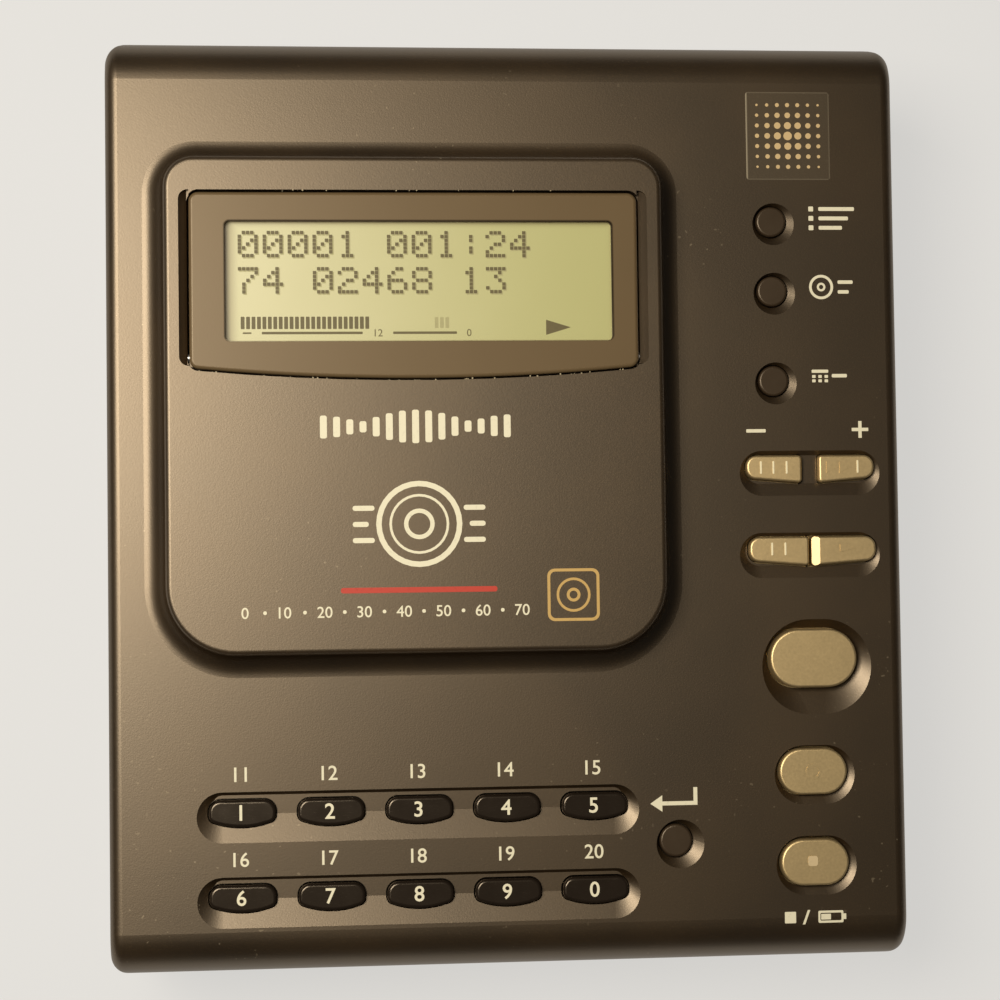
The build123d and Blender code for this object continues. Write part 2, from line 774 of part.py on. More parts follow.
    # openings in the other walls
    for x in jack_row:
        bar_along_y(x, jack_z, rear_wall[0], rear_wall[1], jack_collar + fit_gap, Mode.SUBTRACT)
    bar_along_y(inlet_x, jack_z, rear_wall[0], rear_wall[1], inlet_collar + fit_gap, Mode.SUBTRACT)
    bar_along_x(headphone_y, jack_z, right_wall[0], right_wall[1], jack_collar + fit_gap, Mode.SUBTRACT)
    post(
        wheel_x, wheel_y, side_control_z - wheel_thickness / 2 - air_gap,
        side_control_z + wheel_thickness / 2 + air_gap, wheel_radius + air_gap, Mode.SUBTRACT,
    )
    plate(
        right_wall[0], right_wall[1], wheel_y - wheel_slot / 2, wheel_y + wheel_slot / 2,
        side_control_z - wheel_thickness / 2 - air_gap, side_control_z + wheel_thickness / 2 + air_gap,
        Mode.SUBTRACT,
    )
    plate(
        right_wall[0], right_wall[1],
        hold_y - hold_length / 2 - key_gap, hold_y + hold_length / 2 + hold_travel + key_gap,
        side_control_z - hold_height / 2 - key_gap, side_control_z + hold_height / 2 + key_gap,
        Mode.SUBTRACT,
    )
    plate(
        left_wall[0], left_wall[1],
        eject_y - eject_length / 2 - key_gap, eject_y + eject_length / 2 + key_gap,
        side_control_z - eject_height / 2 - key_gap, side_control_z + eject_height / 2 + key_gap,
        Mode.SUBTRACT,
    )
    plate(
        right_wall[0], right_wall[1], door_front - key_gap, hinge_door_y + door_barrel + key_gap,
        door_bottom - key_gap, door_top + key_gap, Mode.SUBTRACT,
    )
    pin_end_z = door_top + door_pin_length + door_pin_play
    post(barrel_x, hinge_door_y, door_top, pin_end_z, door_pin + run_gap, Mode.SUBTRACT)
top_cover.part.label = "top_cover"
export_step(top_cover.part, "parts/top_cover.step")

# ---- bottom cover --------------------------------------------------------------------------------
with BuildPart() as bottom_cover:
    with BuildSketch(place(0, 0, case_bottom)):
        add(case_outline(0))
    extrude(amount=parting_z - case_bottom)
    fillet(bottom_cover.faces().sort_by(Axis.Z)[0].edges(), bottom_edge)
    with BuildSketch(place(0, 0, floor_z)):
        add(case_outline(wall))
    extrude(amount=parting_z - floor_z, mode=Mode.SUBTRACT)
    with BuildSketch(place(0, 0, parting_z)):
        add(case_outline(wall - tongue))
        add(case_outline(wall), mode=Mode.SUBTRACT)
    extrude(amount=tongue_height)
    # the tongue is left out where the upper cover's openings cross it
    plate(
        right_wall[0], right_wall[1], door_front - key_gap, hinge_door_y + door_barrel + key_gap,
        door_bottom - key_gap, door_top, Mode.SUBTRACT,
    )
    pin_end_z = door_bottom - door_pin_length - door_pin_play
    post(barrel_x, hinge_door_y, pin_end_z, door_bottom, door_pin + run_gap, Mode.SUBTRACT)
    # battery bay: a wall behind the battery, one at its inner end, and two ribs that it lies on
    bay_rear_y = battery_front + battery_width + air_gap
    bay_end_x = battery_left - bay_clear
    bay_top = parting_z - bay_top_gap
    plate(bay_end_x, side_right - wall, bay_rear_y, bay_rear_y + bay_wall, post_foot_z, bay_top)
    plate(bay_end_x - bay_wall, bay_end_x, side_front + wall, bay_rear_y + bay_wall, post_foot_z, bay_top)
    rib_y = (battery_front + bay_rib_end, battery_front + battery_width - bay_rib_end)
    for x in (battery_left + bay_rib_inset, battery_left + battery_length - bay_rib_inset):
        plate(x - bay_rib / 2, x + bay_rib / 2, rib_y[0], rib_y[1], post_foot_z, battery_z)
    for x, y in boss_places:
        post(x, y, post_foot_z, parting_z, boss_radius)
    for x, y in frame_posts:
        post(x, y, post_foot_z, frame_z, boss_radius)
    for x, y in board_posts:
        post(x, y, post_foot_z, main_board_z, board_post_radius)
    # axle of the volume wheel
    post(wheel_x, wheel_y, post_foot_z, wheel_low - fit_gap, wheel_shoulder)
    post(wheel_x, wheel_y, wheel_low - fit_gap, wheel_low + wheel_thickness + wheel_axle_end, wheel_axle)
    for x, y in boss_places:
        post(x, y, case_bottom - through, parting_z + through, screw_radius + fit_gap, Mode.SUBTRACT)
        head_top_z = screw_head_z + screw_head_height
        post(x, y, case_bottom - through, head_top_z, screw_head + fit_gap, Mode.SUBTRACT)
    for x, y in foot_places:
        recess_z = case_bottom + foot_recess
        post(x, y, case_bottom - through, recess_z, foot_radius + fit_gap, Mode.SUBTRACT)
bottom_cover.part.label = "bottom_cover"
export_step(bottom_cover.part, "parts/bottom_cover.step")

# ---- tilting display -------------------------------------------------------------------------------
with BuildPart() as display_bezel:
    with BuildSketch(place(0, 0, bezel_z)):
        add(panel_outline(0))
    extrude(amount=bezel_thickness)
    with BuildSketch(place(0, 0, bezel_z)):
        add(panel_outline(-bezel_wall))
    extrude(amount=bezel_thickness - bezel_lip, mode=Mode.SUBTRACT)
    for edge_x in (panel_left + hinge_boss / 2, panel_right - hinge_boss / 2):
        plate(
            edge_x - hinge_boss / 2, edge_x + hinge_boss / 2,
            hinge_y - hinge_pin_radius - hinge_boss_wall, hinge_y + hinge_pin_radius + hinge_boss_wall,
            hinge_z - hinge_pin_radius - hinge_boss_wall, window_z,
        )
    bar_along_x(hinge_y, hinge_z, panel_left - 1, panel_right + 1, hinge_pin_radius, Mode.SUBTRACT)
    with BuildSketch(place(0, 0, bezel_z)):
        with Locations(((lcd_left + lcd_right) / 2, (lcd_front + lcd_rear) / 2)):
            RectangleRounded(lcd_right - lcd_left, lcd_rear - lcd_front, lcd_corner)
    extrude(amount=bezel_thickness, mode=Mode.SUBTRACT)
display_bezel.part.label = "display_bezel"
export_step(display_bezel.part, "parts/display_bezel.step")

with BuildPart() as display_window:
    with BuildSketch(place(0, 0, window_z)):
        add(panel_outline(0))
    extrude(amount=window_thickness)
    fillet(display_window.faces().sort_by(Axis.Z)[-1].edges(), window_edge)
display_window.part.label = "display_window"
export_step(display_window.part, "parts/display_window.step")

with BuildPart() as lcd_panel:
    plate(
        lcd_left - lcd_margin, lcd_right + lcd_margin, lcd_front - lcd_margin / 2, lcd_rear + lcd_margin,
        window_z - bezel_lip - lcd_thickness, window_z - bezel_lip,
    )
lcd_panel.part.label = "lcd_panel"
export_step(lcd_panel.part, "parts/lcd_panel.step")

with BuildPart() as display_back:
    with BuildSketch(place(0, 0, back_z)):
        add(panel_outline(-back_inset))
    extrude(amount=back_thickness)
    with BuildSketch(place(0, 0, bezel_z)):
        add(panel_outline(-bezel_wall - fit_gap))
        add(panel_outline(-bezel_wall - fit_gap - 0.8), mode=Mode.SUBTRACT)
    extrude(amount=0.6)
display_back.part.label = "display_back"
export_step(display_back.part, "parts/display_back.step")

with BuildPart() as display_hinge_pins:
    for side, edge_x in ((-1, panel_left), (1, panel_right)):
        inner = edge_x - side * hinge_boss
        x_ends = sorted((inner, inner + side * hinge_pin_length))
        bar_along_x(hinge_y, hinge_z, x_ends[0], x_ends[1], hinge_pin_radius)
display_hinge_pins.part.label = "display_hinge_pins"
export_step(display_hinge_pins.part, "parts/display_hinge_pins.step")

# ---- keys, each with a flange under the deck and a stem over its dome ---------------------------------
for name, outline, key_x, key_y, top, edge in keys:
    with BuildPart() as key:
        with BuildSketch(place(key_x, key_y, flange_z)):
            add(outline(0))
        extrude(amount=deck_z + top - flange_z)
        fillet(key.faces().sort_by(Axis.Z)[-1].edges(), edge)
        with BuildSketch(place(key_x, key_y, flange_z)):
            add(outline(flange_grow))
        extrude(amount=flange_thickness)
        post(key_x + stem_shift.get(name, 0), key_y, stem_z, flange_z, stem_radius)
        if name == "search_key":
            with BuildSketch(Plane.XZ.offset(-key_y - pair_height)):
                with Locations((key_x, deck_z + top)):
                    Polygon((0, 0), (0, -search_bevel_drop), (search_bevel, 0), align=None)
            extrude(amount=2 * pair_height, mode=Mode.SUBTRACT)
    key.part.label = name
    export_step(key.part, "parts/" + name + ".step")

# ---- boards --------------------------------------------------------------------------------------
arm_clear = (disc_x - arm_width, disc_x + arm_width)
arm_reach = cartridge_front - 1.0 - pickup_travel - 1.0
key_board_front = stop_y - record_height / 2 - flange_grow - key_board_edge - 2.0
key_board_rear = round_rows[0] + round_radius + flange_grow + key_board_edge
column_left = 28.0
column_right = pair_inner + search_width + flange_grow + key_board_edge + 0.2


def key_board_outline():
    """An L: a wide part under the number keys and a column under the right-hand keys."""
    with BuildSketch(mode=Mode.PRIVATE) as outline:
        Polygon(
            (key_board_left, key_board_front),
            (column_right, key_board_front),
            (column_right, skip_y + skip_height + 3.0),
            (screw_x - boss_radius - 1.0, skip_y + skip_height + 3.0),
            (screw_x - boss_radius - 1.0, key_board_rear),
            (column_left, key_board_rear),
            (column_left, key_board_wide_rear),
            (key_board_left, key_board_wide_rear),
            align=None,
        )
        with Locations(((arm_clear[0] + arm_clear[1]) / 2, arm_reach + 10)):
            Rectangle(arm_clear[1] - arm_clear[0], 20, mode=Mode.SUBTRACT)
        with Locations(*boss_places):
            Rectangle(boss_notch, boss_notch, mode=Mode.SUBTRACT)
    return outline.sketch


with BuildPart() as key_board:
    with BuildSketch(place(0, 0, key_board_z)):
        add(key_board_outline())
    extrude(amount=board_thickness)
key_board.part.label = "key_board"
export_step(key_board.part, "parts/key_board.step")

with BuildPart() as key_domes:
    with BuildSketch(place(0, 0, mat_z)):
        add(key_board_outline())
    extrude(amount=mat_thickness)
    for name, outline, key_x, key_y, top, edge in keys:
        dome_x = key_x + stem_shift.get(name, 0)
        with BuildSketch(place(dome_x, key_y, mat_z + mat_thickness)):
            Circle(dome_radius)
        extrude(amount=dome_top - mat_z - mat_thickness, taper=35)
key_domes.part.label = "key_domes"
export_step(key_domes.part, "parts/key_domes.step")

with BuildPart() as main_board:
    with BuildSketch(place(0, 0, main_board_z)):
        with Locations((-3.5, 18.0)):
            Rectangle(99.0, 88.0)
        with Locations(*boss_places):
            Rectangle(boss_notch, boss_notch, mode=Mode.SUBTRACT)
        with Locations(*frame_posts):
            Circle(boss_radius + air_gap, mode=Mode.SUBTRACT)
    extrude(amount=board_thickness)
main_board.part.label = "main_board"
export_step(main_board.part, "parts/main_board.step")

# chips: centre, size along X and Y, and height
chips = ((-8, 6, 16, 16, 1.6), (24, 6, 14, 14, 1.6), (-30, -8, 10, 14, 1.4), (-28, 30, 12, 12, 1.6))
chips += ((30, 40, 10, 7, 1.8), (2, 36, 18, 8, 1.4), (36, -12, 8, 8, 3.0), (38, 24, 7, 7, 4.0))
with BuildPart() as board_chips:
    for x, y, size_x, size_y, height in chips:
        low = main_board_z + board_thickness
        plate(x - size_x / 2, x + size_x / 2, y - size_y / 2, y + size_y / 2, low, low + height)
board_chips.part.label = "board_chips"
export_step(board_chips.part, "parts/board_chips.step")

# ---- mechanism: fixed frame ----------------------------------------------------------------------
with BuildPart() as mechanism_frame:
    plate(frame_left, frame_right, frame_front, frame_rear, frame_z, frame_top)
    for tab_y in (tab_front, tab_rear):
        plate(frame_left, -44.0, tab_y, tab_y + tab_sheet, frame_z, roller_z + shaft_radius + 1.2)
    for x, y in lift_pins:
        post(x, y, frame_z, deck_plate_z, lift_shoulder)
        post(x, y, deck_plate_z, deck_top + deck_lift + 2.0, lift_pin_radius)
    for x, y in ((-24, 34), (-8, 34), (-24, -18), (-8, -18), (-18, 12)):
        post(x, y, frame_z - 1, frame_top + 1, 5.0, Mode.SUBTRACT)
    bar_along_y(roller_x, roller_z, tab_front - 1, tab_rear + 3, shaft_radius + run_gap, Mode.SUBTRACT)
    motor_bore = motor_shaft + run_gap
    bar_along_y(loading_motor_x, loading_motor_z, tab_rear - 1, tab_rear + 3, motor_bore, Mode.SUBTRACT)
mechanism_frame.part.label = "mechanism_frame"
export_step(mechanism_frame.part, "parts/mechanism_frame.step")

pulley_y = tab_rear + tab_sheet + air_gap
pulley_rear = pulley_y + pulley_thickness
groove_rear = pulley_y + (pulley_thickness + belt_size) / 2 + fit_gap
with BuildPart() as roller_shaft:
    bar_along_y(roller_x, roller_z, tab_front, pulley_rear, shaft_radius)
    bar_along_y(roller_x, roller_z, pulley_y, pulley_rear, roller_pulley)
    with BuildSketch(Plane.XZ.offset(-groove_rear)):
        with Locations((roller_x, roller_z)):
            Circle(roller_pulley + 1)
            Circle(roller_pulley - belt_size, mode=Mode.SUBTRACT)
    extrude(amount=belt_size + 2 * fit_gap, mode=Mode.SUBTRACT)
roller_shaft.part.label = "roller_shaft"
export_step(roller_shaft.part, "parts/roller_shaft.step")

with BuildPart() as loading_roller:
    for y0, y1 in ((-19.0, -3.0), (6.0, 20.0), (29.0, 45.0)):
        bar_along_y(roller_x, roller_z, y0, y1, roller_radius)
    bar_along_y(roller_x, roller_z, -30.0, 60.0, shaft_radius, Mode.SUBTRACT)
loading_roller.part.label = "loading_roller"
export_step(loading_roller.part, "parts/loading_roller.step")

with BuildPart() as loading_motor:
    can_front = tab_rear - loading_motor_length
    bar_along_y(loading_motor_x, loading_motor_z, can_front, tab_rear, loading_motor_radius)
    bar_along_y(loading_motor_x, loading_motor_z, tab_rear, pulley_rear, motor_shaft)
    bar_along_y(loading_motor_x, loading_motor_z, pulley_y, pulley_rear, motor_pulley)
    with BuildSketch(Plane.XZ.offset(-groove_rear)):
        with Locations((loading_motor_x, loading_motor_z)):
            Circle(motor_pulley + 1)
            Circle(motor_pulley - belt_size, mode=Mode.SUBTRACT)
    extrude(amount=belt_size + 2 * fit_gap, mode=Mode.SUBTRACT)
loading_motor.part.label = "loading_motor"
export_step(loading_motor.part, "parts/loading_motor.step")

with BuildPart() as loading_belt:
    with BuildSketch(Plane.XZ.offset(-pulley_y - pulley_thickness / 2 - belt_size / 2)) as loop:
        with BuildSketch(Plane.XZ, mode=Mode.PRIVATE) as outer:
            with Locations((roller_x, roller_z)):
                Circle(roller_pulley + run_gap)
            with Locations((loading_motor_x, loading_motor_z)):
                Circle(motor_pulley + run_gap)
            make_hull()
        with BuildSketch(Plane.XZ, mode=Mode.PRIVATE) as inner:
            with Locations((roller_x, roller_z)):
                Circle(roller_pulley - belt_size + run_gap)
            with Locations((loading_motor_x, loading_motor_z)):
                Circle(motor_pulley - belt_size + run_gap)
            make_hull()
        add(outer.sketch_local)
        add(inner.sketch_local, mode=Mode.SUBTRACT)
    extrude(amount=belt_size)
loading_belt.part.label = "loading_belt"
export_step(loading_belt.part, "parts/loading_belt.step")

# rails that hold the cartridge by its edges: two short ones in front, a long one behind with a stop
with BuildPart() as disc_guide:
    front_web = (cartridge_front - guide_gap - guide_wall, cartridge_front - guide_gap)
    rear_web = (cartridge_rear + guide_gap, cartridge_rear + guide_gap + guide_wall)
    low = guide_low - guide_lip
    high = guide_high + guide_lip
    stop_x0 = cartridge_left + cartridge_x + guide_gap
    for x0, x1 in ((guide_left, pickup_nut_x - air_gap), (pickup_right + air_gap, stop_x0)):
        plate(x0, x1, front_web[0], front_web[1], low, high)
        plate(x0, x1, front_web[1], cartridge_front + guide_reach, low, guide_low)
        plate(x0, x1, front_web[1], cartridge_front + guide_reach, guide_high, high)
    plate(guide_left, stop_x0 + guide_stop, rear_web[0], rear_web[1], low, high)
    plate(guide_left, stop_x0 + guide_stop, cartridge_rear - guide_reach, rear_web[0], low, guide_low)
    plate(guide_left, stop_x0 + guide_stop, cartridge_rear - guide_reach, rear_web[0], guide_high, high)
    plate(stop_x0, stop_x0 + guide_stop, cartridge_rear - 14, rear_web[0], guide_low, guide_high)
    guide_legs = ((guide_left, -38.5, front_web), (0.0, 8.0, front_web))
    guide_legs += ((-34.0, -26.0, rear_web), (2.0, 10.0, rear_web))
    for x0, x1, web in guide_legs:
        plate(x0, x1, web[0], web[1], frame_top, low)
disc_guide.part.label = "disc_guide"
export_step(disc_guide.part, "parts/disc_guide.step")

# ---- mechanism: the deck that lifts to the disc ------------------------------------------------------
deck_front = pickup_front - pickup_travel - 3.0
with BuildPart() as mechanism_chassis:
    plate(-41.0, 10.0, -16.0, 40.0, deck_plate_z, deck_top)
    plate(-36.5, -6.0, deck_front, -16.0, deck_plate_z, deck_top)
    for x in (disc_x - rod_spread, disc_x + rod_spread):
        for y in (deck_front, pickup_rear + 1.0):
            plate(x - 2, x + 2, y, y + tab_sheet, deck_plate_z, rod_z + 1.6)
            bar_along_y(x, rod_z, y - 1, y + tab_sheet + 1, rod_radius, Mode.SUBTRACT)
    for y in (deck_front, pickup_rear + 3.6):
        plate(screw_axis_x - 2.2, screw_axis_x + 2.2, y, y + tab_sheet, deck_plate_z, rod_z + 2.0)
        bar_along_y(screw_axis_x, rod_z, y - 1, y + tab_sheet + 1, shaft_radius + run_gap, Mode.SUBTRACT)
    for x, y in lift_pins:
        post(x, y, deck_plate_z - 1, deck_top + 1, lift_pin_radius + run_gap, Mode.SUBTRACT)
    post(disc_x, disc_y, deck_plate_z - 1, deck_top + 1, spindle_can + fit_gap, Mode.SUBTRACT)
mechanism_chassis.part.label = "mechanism_chassis"
export_step(mechanism_chassis.part, "parts/mechanism_chassis.step")

with BuildPart() as spindle_motor:
    can_low = deck_plate_z - spindle_can_depth
    bore_low = can_low + spindle_can_floor
    post(disc_x, disc_y, deck_top, deck_top + spindle_flange_thickness, spindle_flange)
    post(disc_x, disc_y, can_low, deck_top, spindle_can)
    post(disc_x, disc_y, bore_low, deck_top + 2, spindle_shaft + run_gap, Mode.SUBTRACT)
spindle_motor.part.label = "spindle_motor"
export_step(spindle_motor.part, "parts/spindle_motor.step")

turntable_top = cartridge_z - cone_height - fit_gap
with BuildPart() as turntable:
    post(disc_x, disc_y, turntable_top - turntable_thickness, turntable_top, turntable_radius)
    post(disc_x, disc_y, bore_low + fit_gap, turntable_top, spindle_shaft)
    with BuildSketch(place(disc_x, disc_y, turntable_top)):
        Circle(cone_radius)
    extrude(amount=cone_height, taper=20)
turntable.part.label = "turntable"
export_step(turntable.part, "parts/turntable.step")

with BuildPart() as guide_rods:
    for x in (disc_x - rod_spread, disc_x + rod_spread):
        bar_along_y(x, rod_z, deck_front, pickup_rear + 1.0 + tab_sheet, rod_radius)
guide_rods.part.label = "guide_rods"
export_step(guide_rods.part, "parts/guide_rods.step")

with BuildPart() as lead_screw:
    bar_along_y(screw_axis_x, rod_z, deck_front, pickup_rear + 3.6 + tab_sheet, shaft_radius)
lead_screw.part.label = "lead_screw"
export_step(lead_screw.part, "parts/lead_screw.step")

with BuildPart() as sled_motor:
    motor_y = pickup_rear + 3.6 + tab_sheet
    sled_motor_top = cartridge_z - deck_lift - air_gap
    plate(
        screw_axis_x - sled_motor_width / 2, screw_axis_x + sled_motor_width / 2,
        motor_y, motor_y + sled_motor_length, deck_top, sled_motor_top,
    )
    fillet(sled_motor.edges().filter_by(Axis.Y), sled_motor_edge)
sled_motor.part.label = "sled_motor"
export_step(sled_motor.part, "parts/sled_motor.step")

pickup_low = deck_top + air_gap
with BuildPart() as optical_pickup:
    plate(
        disc_x - pickup_width / 2, disc_x + pickup_width / 2, pickup_front, pickup_rear,
        pickup_low, pickup_low + pickup_height,
    )
    plate(
        pickup_nut_x, disc_x - pickup_width / 2, pickup_front + 2.5, pickup_rear - 2.5,
        pickup_low, rod_z + 1.8,
    )
    post(disc_x, lens_y, pickup_low + pickup_height, pickup_low + pickup_height + lens_height, lens_radius)
    for x in (disc_x - rod_spread, disc_x + rod_spread):
        bar_along_y(x, rod_z, pickup_front - 1, pickup_rear + 1, rod_radius + run_gap, Mode.SUBTRACT)
    bar_along_y(screw_axis_x, rod_z, pickup_front - 1, pickup_rear + 1, shaft_radius + run_gap, Mode.SUBTRACT)
optical_pickup.part.label = "optical_pickup"
export_step(optical_pickup.part, "parts/optical_pickup.step")

arm_y = cartridge_front - 0.5 - arm_sheet
arm_foot_z = rod_z + 1.4
arm_top_z = cartridge_top + 0.4
with BuildPart() as recording_head_arm:
    arm_x = (disc_x - arm_width / 2, disc_x + arm_width / 2)
    plate(arm_x[0], arm_x[1], arm_y, pickup_front, arm_foot_z, arm_foot_z + arm_sheet)
    plate(arm_x[0], arm_x[1], arm_y, arm_y + arm_sheet, arm_foot_z, arm_top_z + arm_sheet)
    plate(arm_x[0], arm_x[1], arm_y, lens_y + 2, arm_top_z, arm_top_z + arm_sheet)
    plate(arm_x[0], arm_x[1], lens_y - 2, lens_y + 2, cartridge_top + 0.15, arm_top_z)
recording_head_arm.part.label = "recording_head_arm"
export_step(recording_head_arm.part, "parts/recording_head_arm.step")

# ---- disc ------------------------------------------------------------------------------------------
shutter_x0 = disc_x - shutter_width / 2 - shutter_open
shutter_inner = disc_y - head_window_inner + 0.7
with BuildPart() as cartridge_shell:
    with BuildSketch(place(disc_x, disc_y, cartridge_z)):
        RectangleRounded(cartridge_x, cartridge_y, 1.5)
    extrude(amount=cartridge_thickness)
    room_z = (cartridge_z + cartridge_wall, cartridge_top - cartridge_wall)
    post(disc_x, disc_y, room_z[0], room_z[1], disc_radius + 1, Mode.SUBTRACT)
    post(disc_x, disc_y, cartridge_z - 1, cartridge_z + cartridge_wall + 0.5, spindle_window, Mode.SUBTRACT)
    window_x = (disc_x - head_window / 2, disc_x + head_window / 2)
    window_y = (cartridge_front + 1.5, disc_y - head_window_inner)
    for z0, z1 in (
        (cartridge_z - 1, cartridge_z + cartridge_wall + 0.1),
        (cartridge_top - cartridge_wall - 0.1, cartridge_top + 1),
    ):
        plate(window_x[0], window_x[1], window_y[0], window_y[1], z0, z1, Mode.SUBTRACT)
    recess_x = (shutter_x0 - 0.2, disc_x + shutter_width / 2 + 0.2)
    for z0, z1 in (
        (cartridge_z - 1, cartridge_z + shutter_recess),
        (cartridge_top - shutter_recess, cartridge_top + 1),
    ):
        plate(recess_x[0], recess_x[1], cartridge_front - 1, shutter_inner + 0.2, z0, z1, Mode.SUBTRACT)
    plate(
        recess_x[0], recess_x[1], cartridge_front - 1, cartridge_front + shutter_recess,
        cartridge_z - 1, cartridge_top + 1, Mode.SUBTRACT,
    )
cartridge_shell.part.label = "cartridge_shell"
export_step(cartridge_shell.part, "parts/cartridge_shell.step")

with BuildPart() as cartridge_shutter:
    x0 = shutter_x0
    x1 = shutter_x0 + shutter_width
    skin = (shutter_recess - shutter_sheet) / 2
    y0 = cartridge_front + skin
    plate(x0, x1, y0, shutter_inner, cartridge_z + skin, cartridge_z + skin + shutter_sheet)
    plate(x0, x1, y0, shutter_inner, cartridge_top - skin - shutter_sheet, cartridge_top - skin)
    plate(x0, x1, y0, y0 + shutter_sheet, cartridge_z + skin, cartridge_top - skin)
cartridge_shutter.part.label = "cartridge_shutter"
export_step(cartridge_shutter.part, "parts/cartridge_shutter.step")

with BuildPart() as disc_platter:
    post(disc_x, disc_y, disc_z, disc_z + disc_thickness, disc_radius)
    post(disc_x, disc_y, disc_z - hub_thickness, disc_z, hub_radius)
    post(disc_x, disc_y, disc_z - hub_thickness - 1, disc_z + disc_thickness + 1, hub_hole, Mode.SUBTRACT)
disc_platter.part.label = "disc_platter"
export_step(disc_platter.part, "parts/disc_platter.step")

# felt lips that keep dust out of the slot
with BuildPart() as slot_lips:
    lip_ends = (cartridge_front - slot_side, cartridge_rear + slot_side)
    for z0 in (slot_middle - slot_height / 2, slot_middle + slot_height / 2 - lip_thickness):
        plate(side_left + 0.2, side_left + wall, lip_ends[0], lip_ends[1], z0, z0 + lip_thickness)
slot_lips.part.label = "slot_lips"
export_step(slot_lips.part, "parts/slot_lips.step")

# ---- power --------------------------------------------------------------------------------------------
with BuildPart() as battery_pack:
    plate(
        battery_left, battery_left + battery_length, battery_front, battery_front + battery_width,
        battery_z, battery_z + battery_height,
    )
    fillet(battery_pack.edges().filter_by(Axis.X), 2.0)
battery_pack.part.label = "battery_pack"
export_step(battery_pack.part, "parts/battery_pack.step")

with BuildPart() as battery_contacts:
    for contact_y in (battery_front + 8, battery_front + battery_width - 8):
        plate(battery_left - 2.5, battery_left, contact_y - 2, contact_y + 2, battery_z + 5, battery_z + 9)
battery_contacts.part.label = "battery_contacts"
export_step(battery_contacts.part, "parts/battery_contacts.step")

with BuildPart() as battery_door:
    plate(side_right - 2 * door_barrel, side_right, door_front, hinge_door_y, door_bottom, door_top)
    post(barrel_x, hinge_door_y, door_bottom, door_top, door_barrel)
    post(barrel_x, hinge_door_y, door_bottom - door_pin_length, door_top + door_pin_length, door_pin)
    door_middle = (door_bottom + door_top) / 2
    grip_z = (door_middle - door_grip_height / 2, door_middle + door_grip_height / 2)
    for step in range(door_grip_bars):
        bar_y = door_front + door_grip_inset + door_grip_pitch * step
        plate(
            side_right - grip_depth, side_right + through, bar_y, bar_y + door_grip_bar,
            grip_z[0], grip_z[1], Mode.SUBTRACT,
        )
battery_door.part.label = "battery_door"
export_step(battery_door.part, "parts/battery_door.step")

# ---- sockets ---------------------------------------------------------------------------------------------
jack_low = jack_z - jack_body / 2
jack_high = jack_z + jack_body / 2
with BuildPart() as audio_jacks:
    for x in jack_row:
        inside = side_rear - wall
        plate(x - jack_body / 2, x + jack_body / 2, inside - jack_length, inside, jack_low, jack_high)
        bar_along_y(x, jack_z, inside, side_rear - collar_sink, jack_collar)
        bar_along_y(x, jack_z, inside - jack_length + jack_end, side_rear, jack_bore, Mode.SUBTRACT)
    inside = side_right - wall
    plate(
        inside - jack_length, inside,
        headphone_y - jack_body / 2, headphone_y + jack_body / 2, jack_low, jack_high,
    )
    bar_along_x(headphone_y, jack_z, inside, side_right - collar_sink, jack_collar)
    bar_along_x(headphone_y, jack_z, inside - jack_length + jack_end, side_right, jack_bore, Mode.SUBTRACT)
audio_jacks.part.label = "audio_jacks"
export_step(audio_jacks.part, "parts/audio_jacks.step")

with BuildPart() as dc_inlet:
    inside = side_rear - wall
    half = inlet_body / 2
    plate(inlet_x - half, inlet_x + half, inside - inlet_body, inside, jack_z - half, jack_z + half)
    bar_along_y(inlet_x, jack_z, inside, side_rear - collar_sink, inlet_collar)
    bar_along_y(inlet_x, jack_z, inside - inlet_depth, side_rear, inlet_bore, Mode.SUBTRACT)
    bar_along_y(inlet_x, jack_z, inside - inlet_depth - 1, side_rear - inlet_pin_sink, inlet_pin)
dc_inlet.part.label = "dc_inlet"
export_step(dc_inlet.part, "parts/dc_inlet.step")

# ---- side controls ---------------------------------------------------------------------------------
with BuildPart() as volume_wheel:
    post(wheel_x, wheel_y, wheel_low, wheel_low + wheel_thickness, wheel_radius)
    fillet(volume_wheel.edges().filter_by(GeomType.CIRCLE), wheel_edge)
    with BuildSketch(place(wheel_x, wheel_y, wheel_low)):
        with PolarLocations(wheel_radius, wheel_notches):
            Circle(wheel_notch_radius)
    extrude(amount=wheel_thickness, mode=Mode.SUBTRACT)
    wheel_high = wheel_low + wheel_thickness
    post(wheel_x, wheel_y, wheel_low - through, wheel_high + through, wheel_axle + run_gap, Mode.SUBTRACT)
volume_wheel.part.label = "volume_wheel"
export_step(volume_wheel.part, "parts/volume_wheel.step")

with BuildPart() as hold_switch:
    knob_x = (side_right - wall, side_right - control_sink)
    knob_y = (hold_y - hold_length / 2, hold_y + hold_length / 2)
    knob_z = (side_control_z - hold_height / 2, side_control_z + hold_height / 2)
    plate(knob_x[0], knob_x[1], knob_y[0], knob_y[1], knob_z[0], knob_z[1])
    for step in range(hold_ribs):
        rib_y = hold_y + (step - (hold_ribs - 1) / 2) * hold_rib_pitch
        plate(
            side_right - grip_depth, side_right + through, rib_y - hold_rib_groove / 2,
            rib_y + hold_rib_groove / 2, knob_z[0] - through, knob_z[1] + through, Mode.SUBTRACT,
        )
    plate(
        knob_x[0] - fit_gap - slide_plate, knob_x[0] - fit_gap,
        knob_y[0] - slide_plate_reach, knob_y[1] + slide_plate_reach,
        knob_z[0] - slide_plate_reach, knob_z[1] + slide_plate_reach,
    )
    neck = 2 * key_gap
    plate(
        knob_x[0] - fit_gap, knob_x[0],
        knob_y[0] + neck, knob_y[1] - neck, knob_z[0] + key_gap, knob_z[1] - key_gap,
    )
hold_switch.part.label = "hold_switch"
export_step(hold_switch.part, "parts/hold_switch.step")

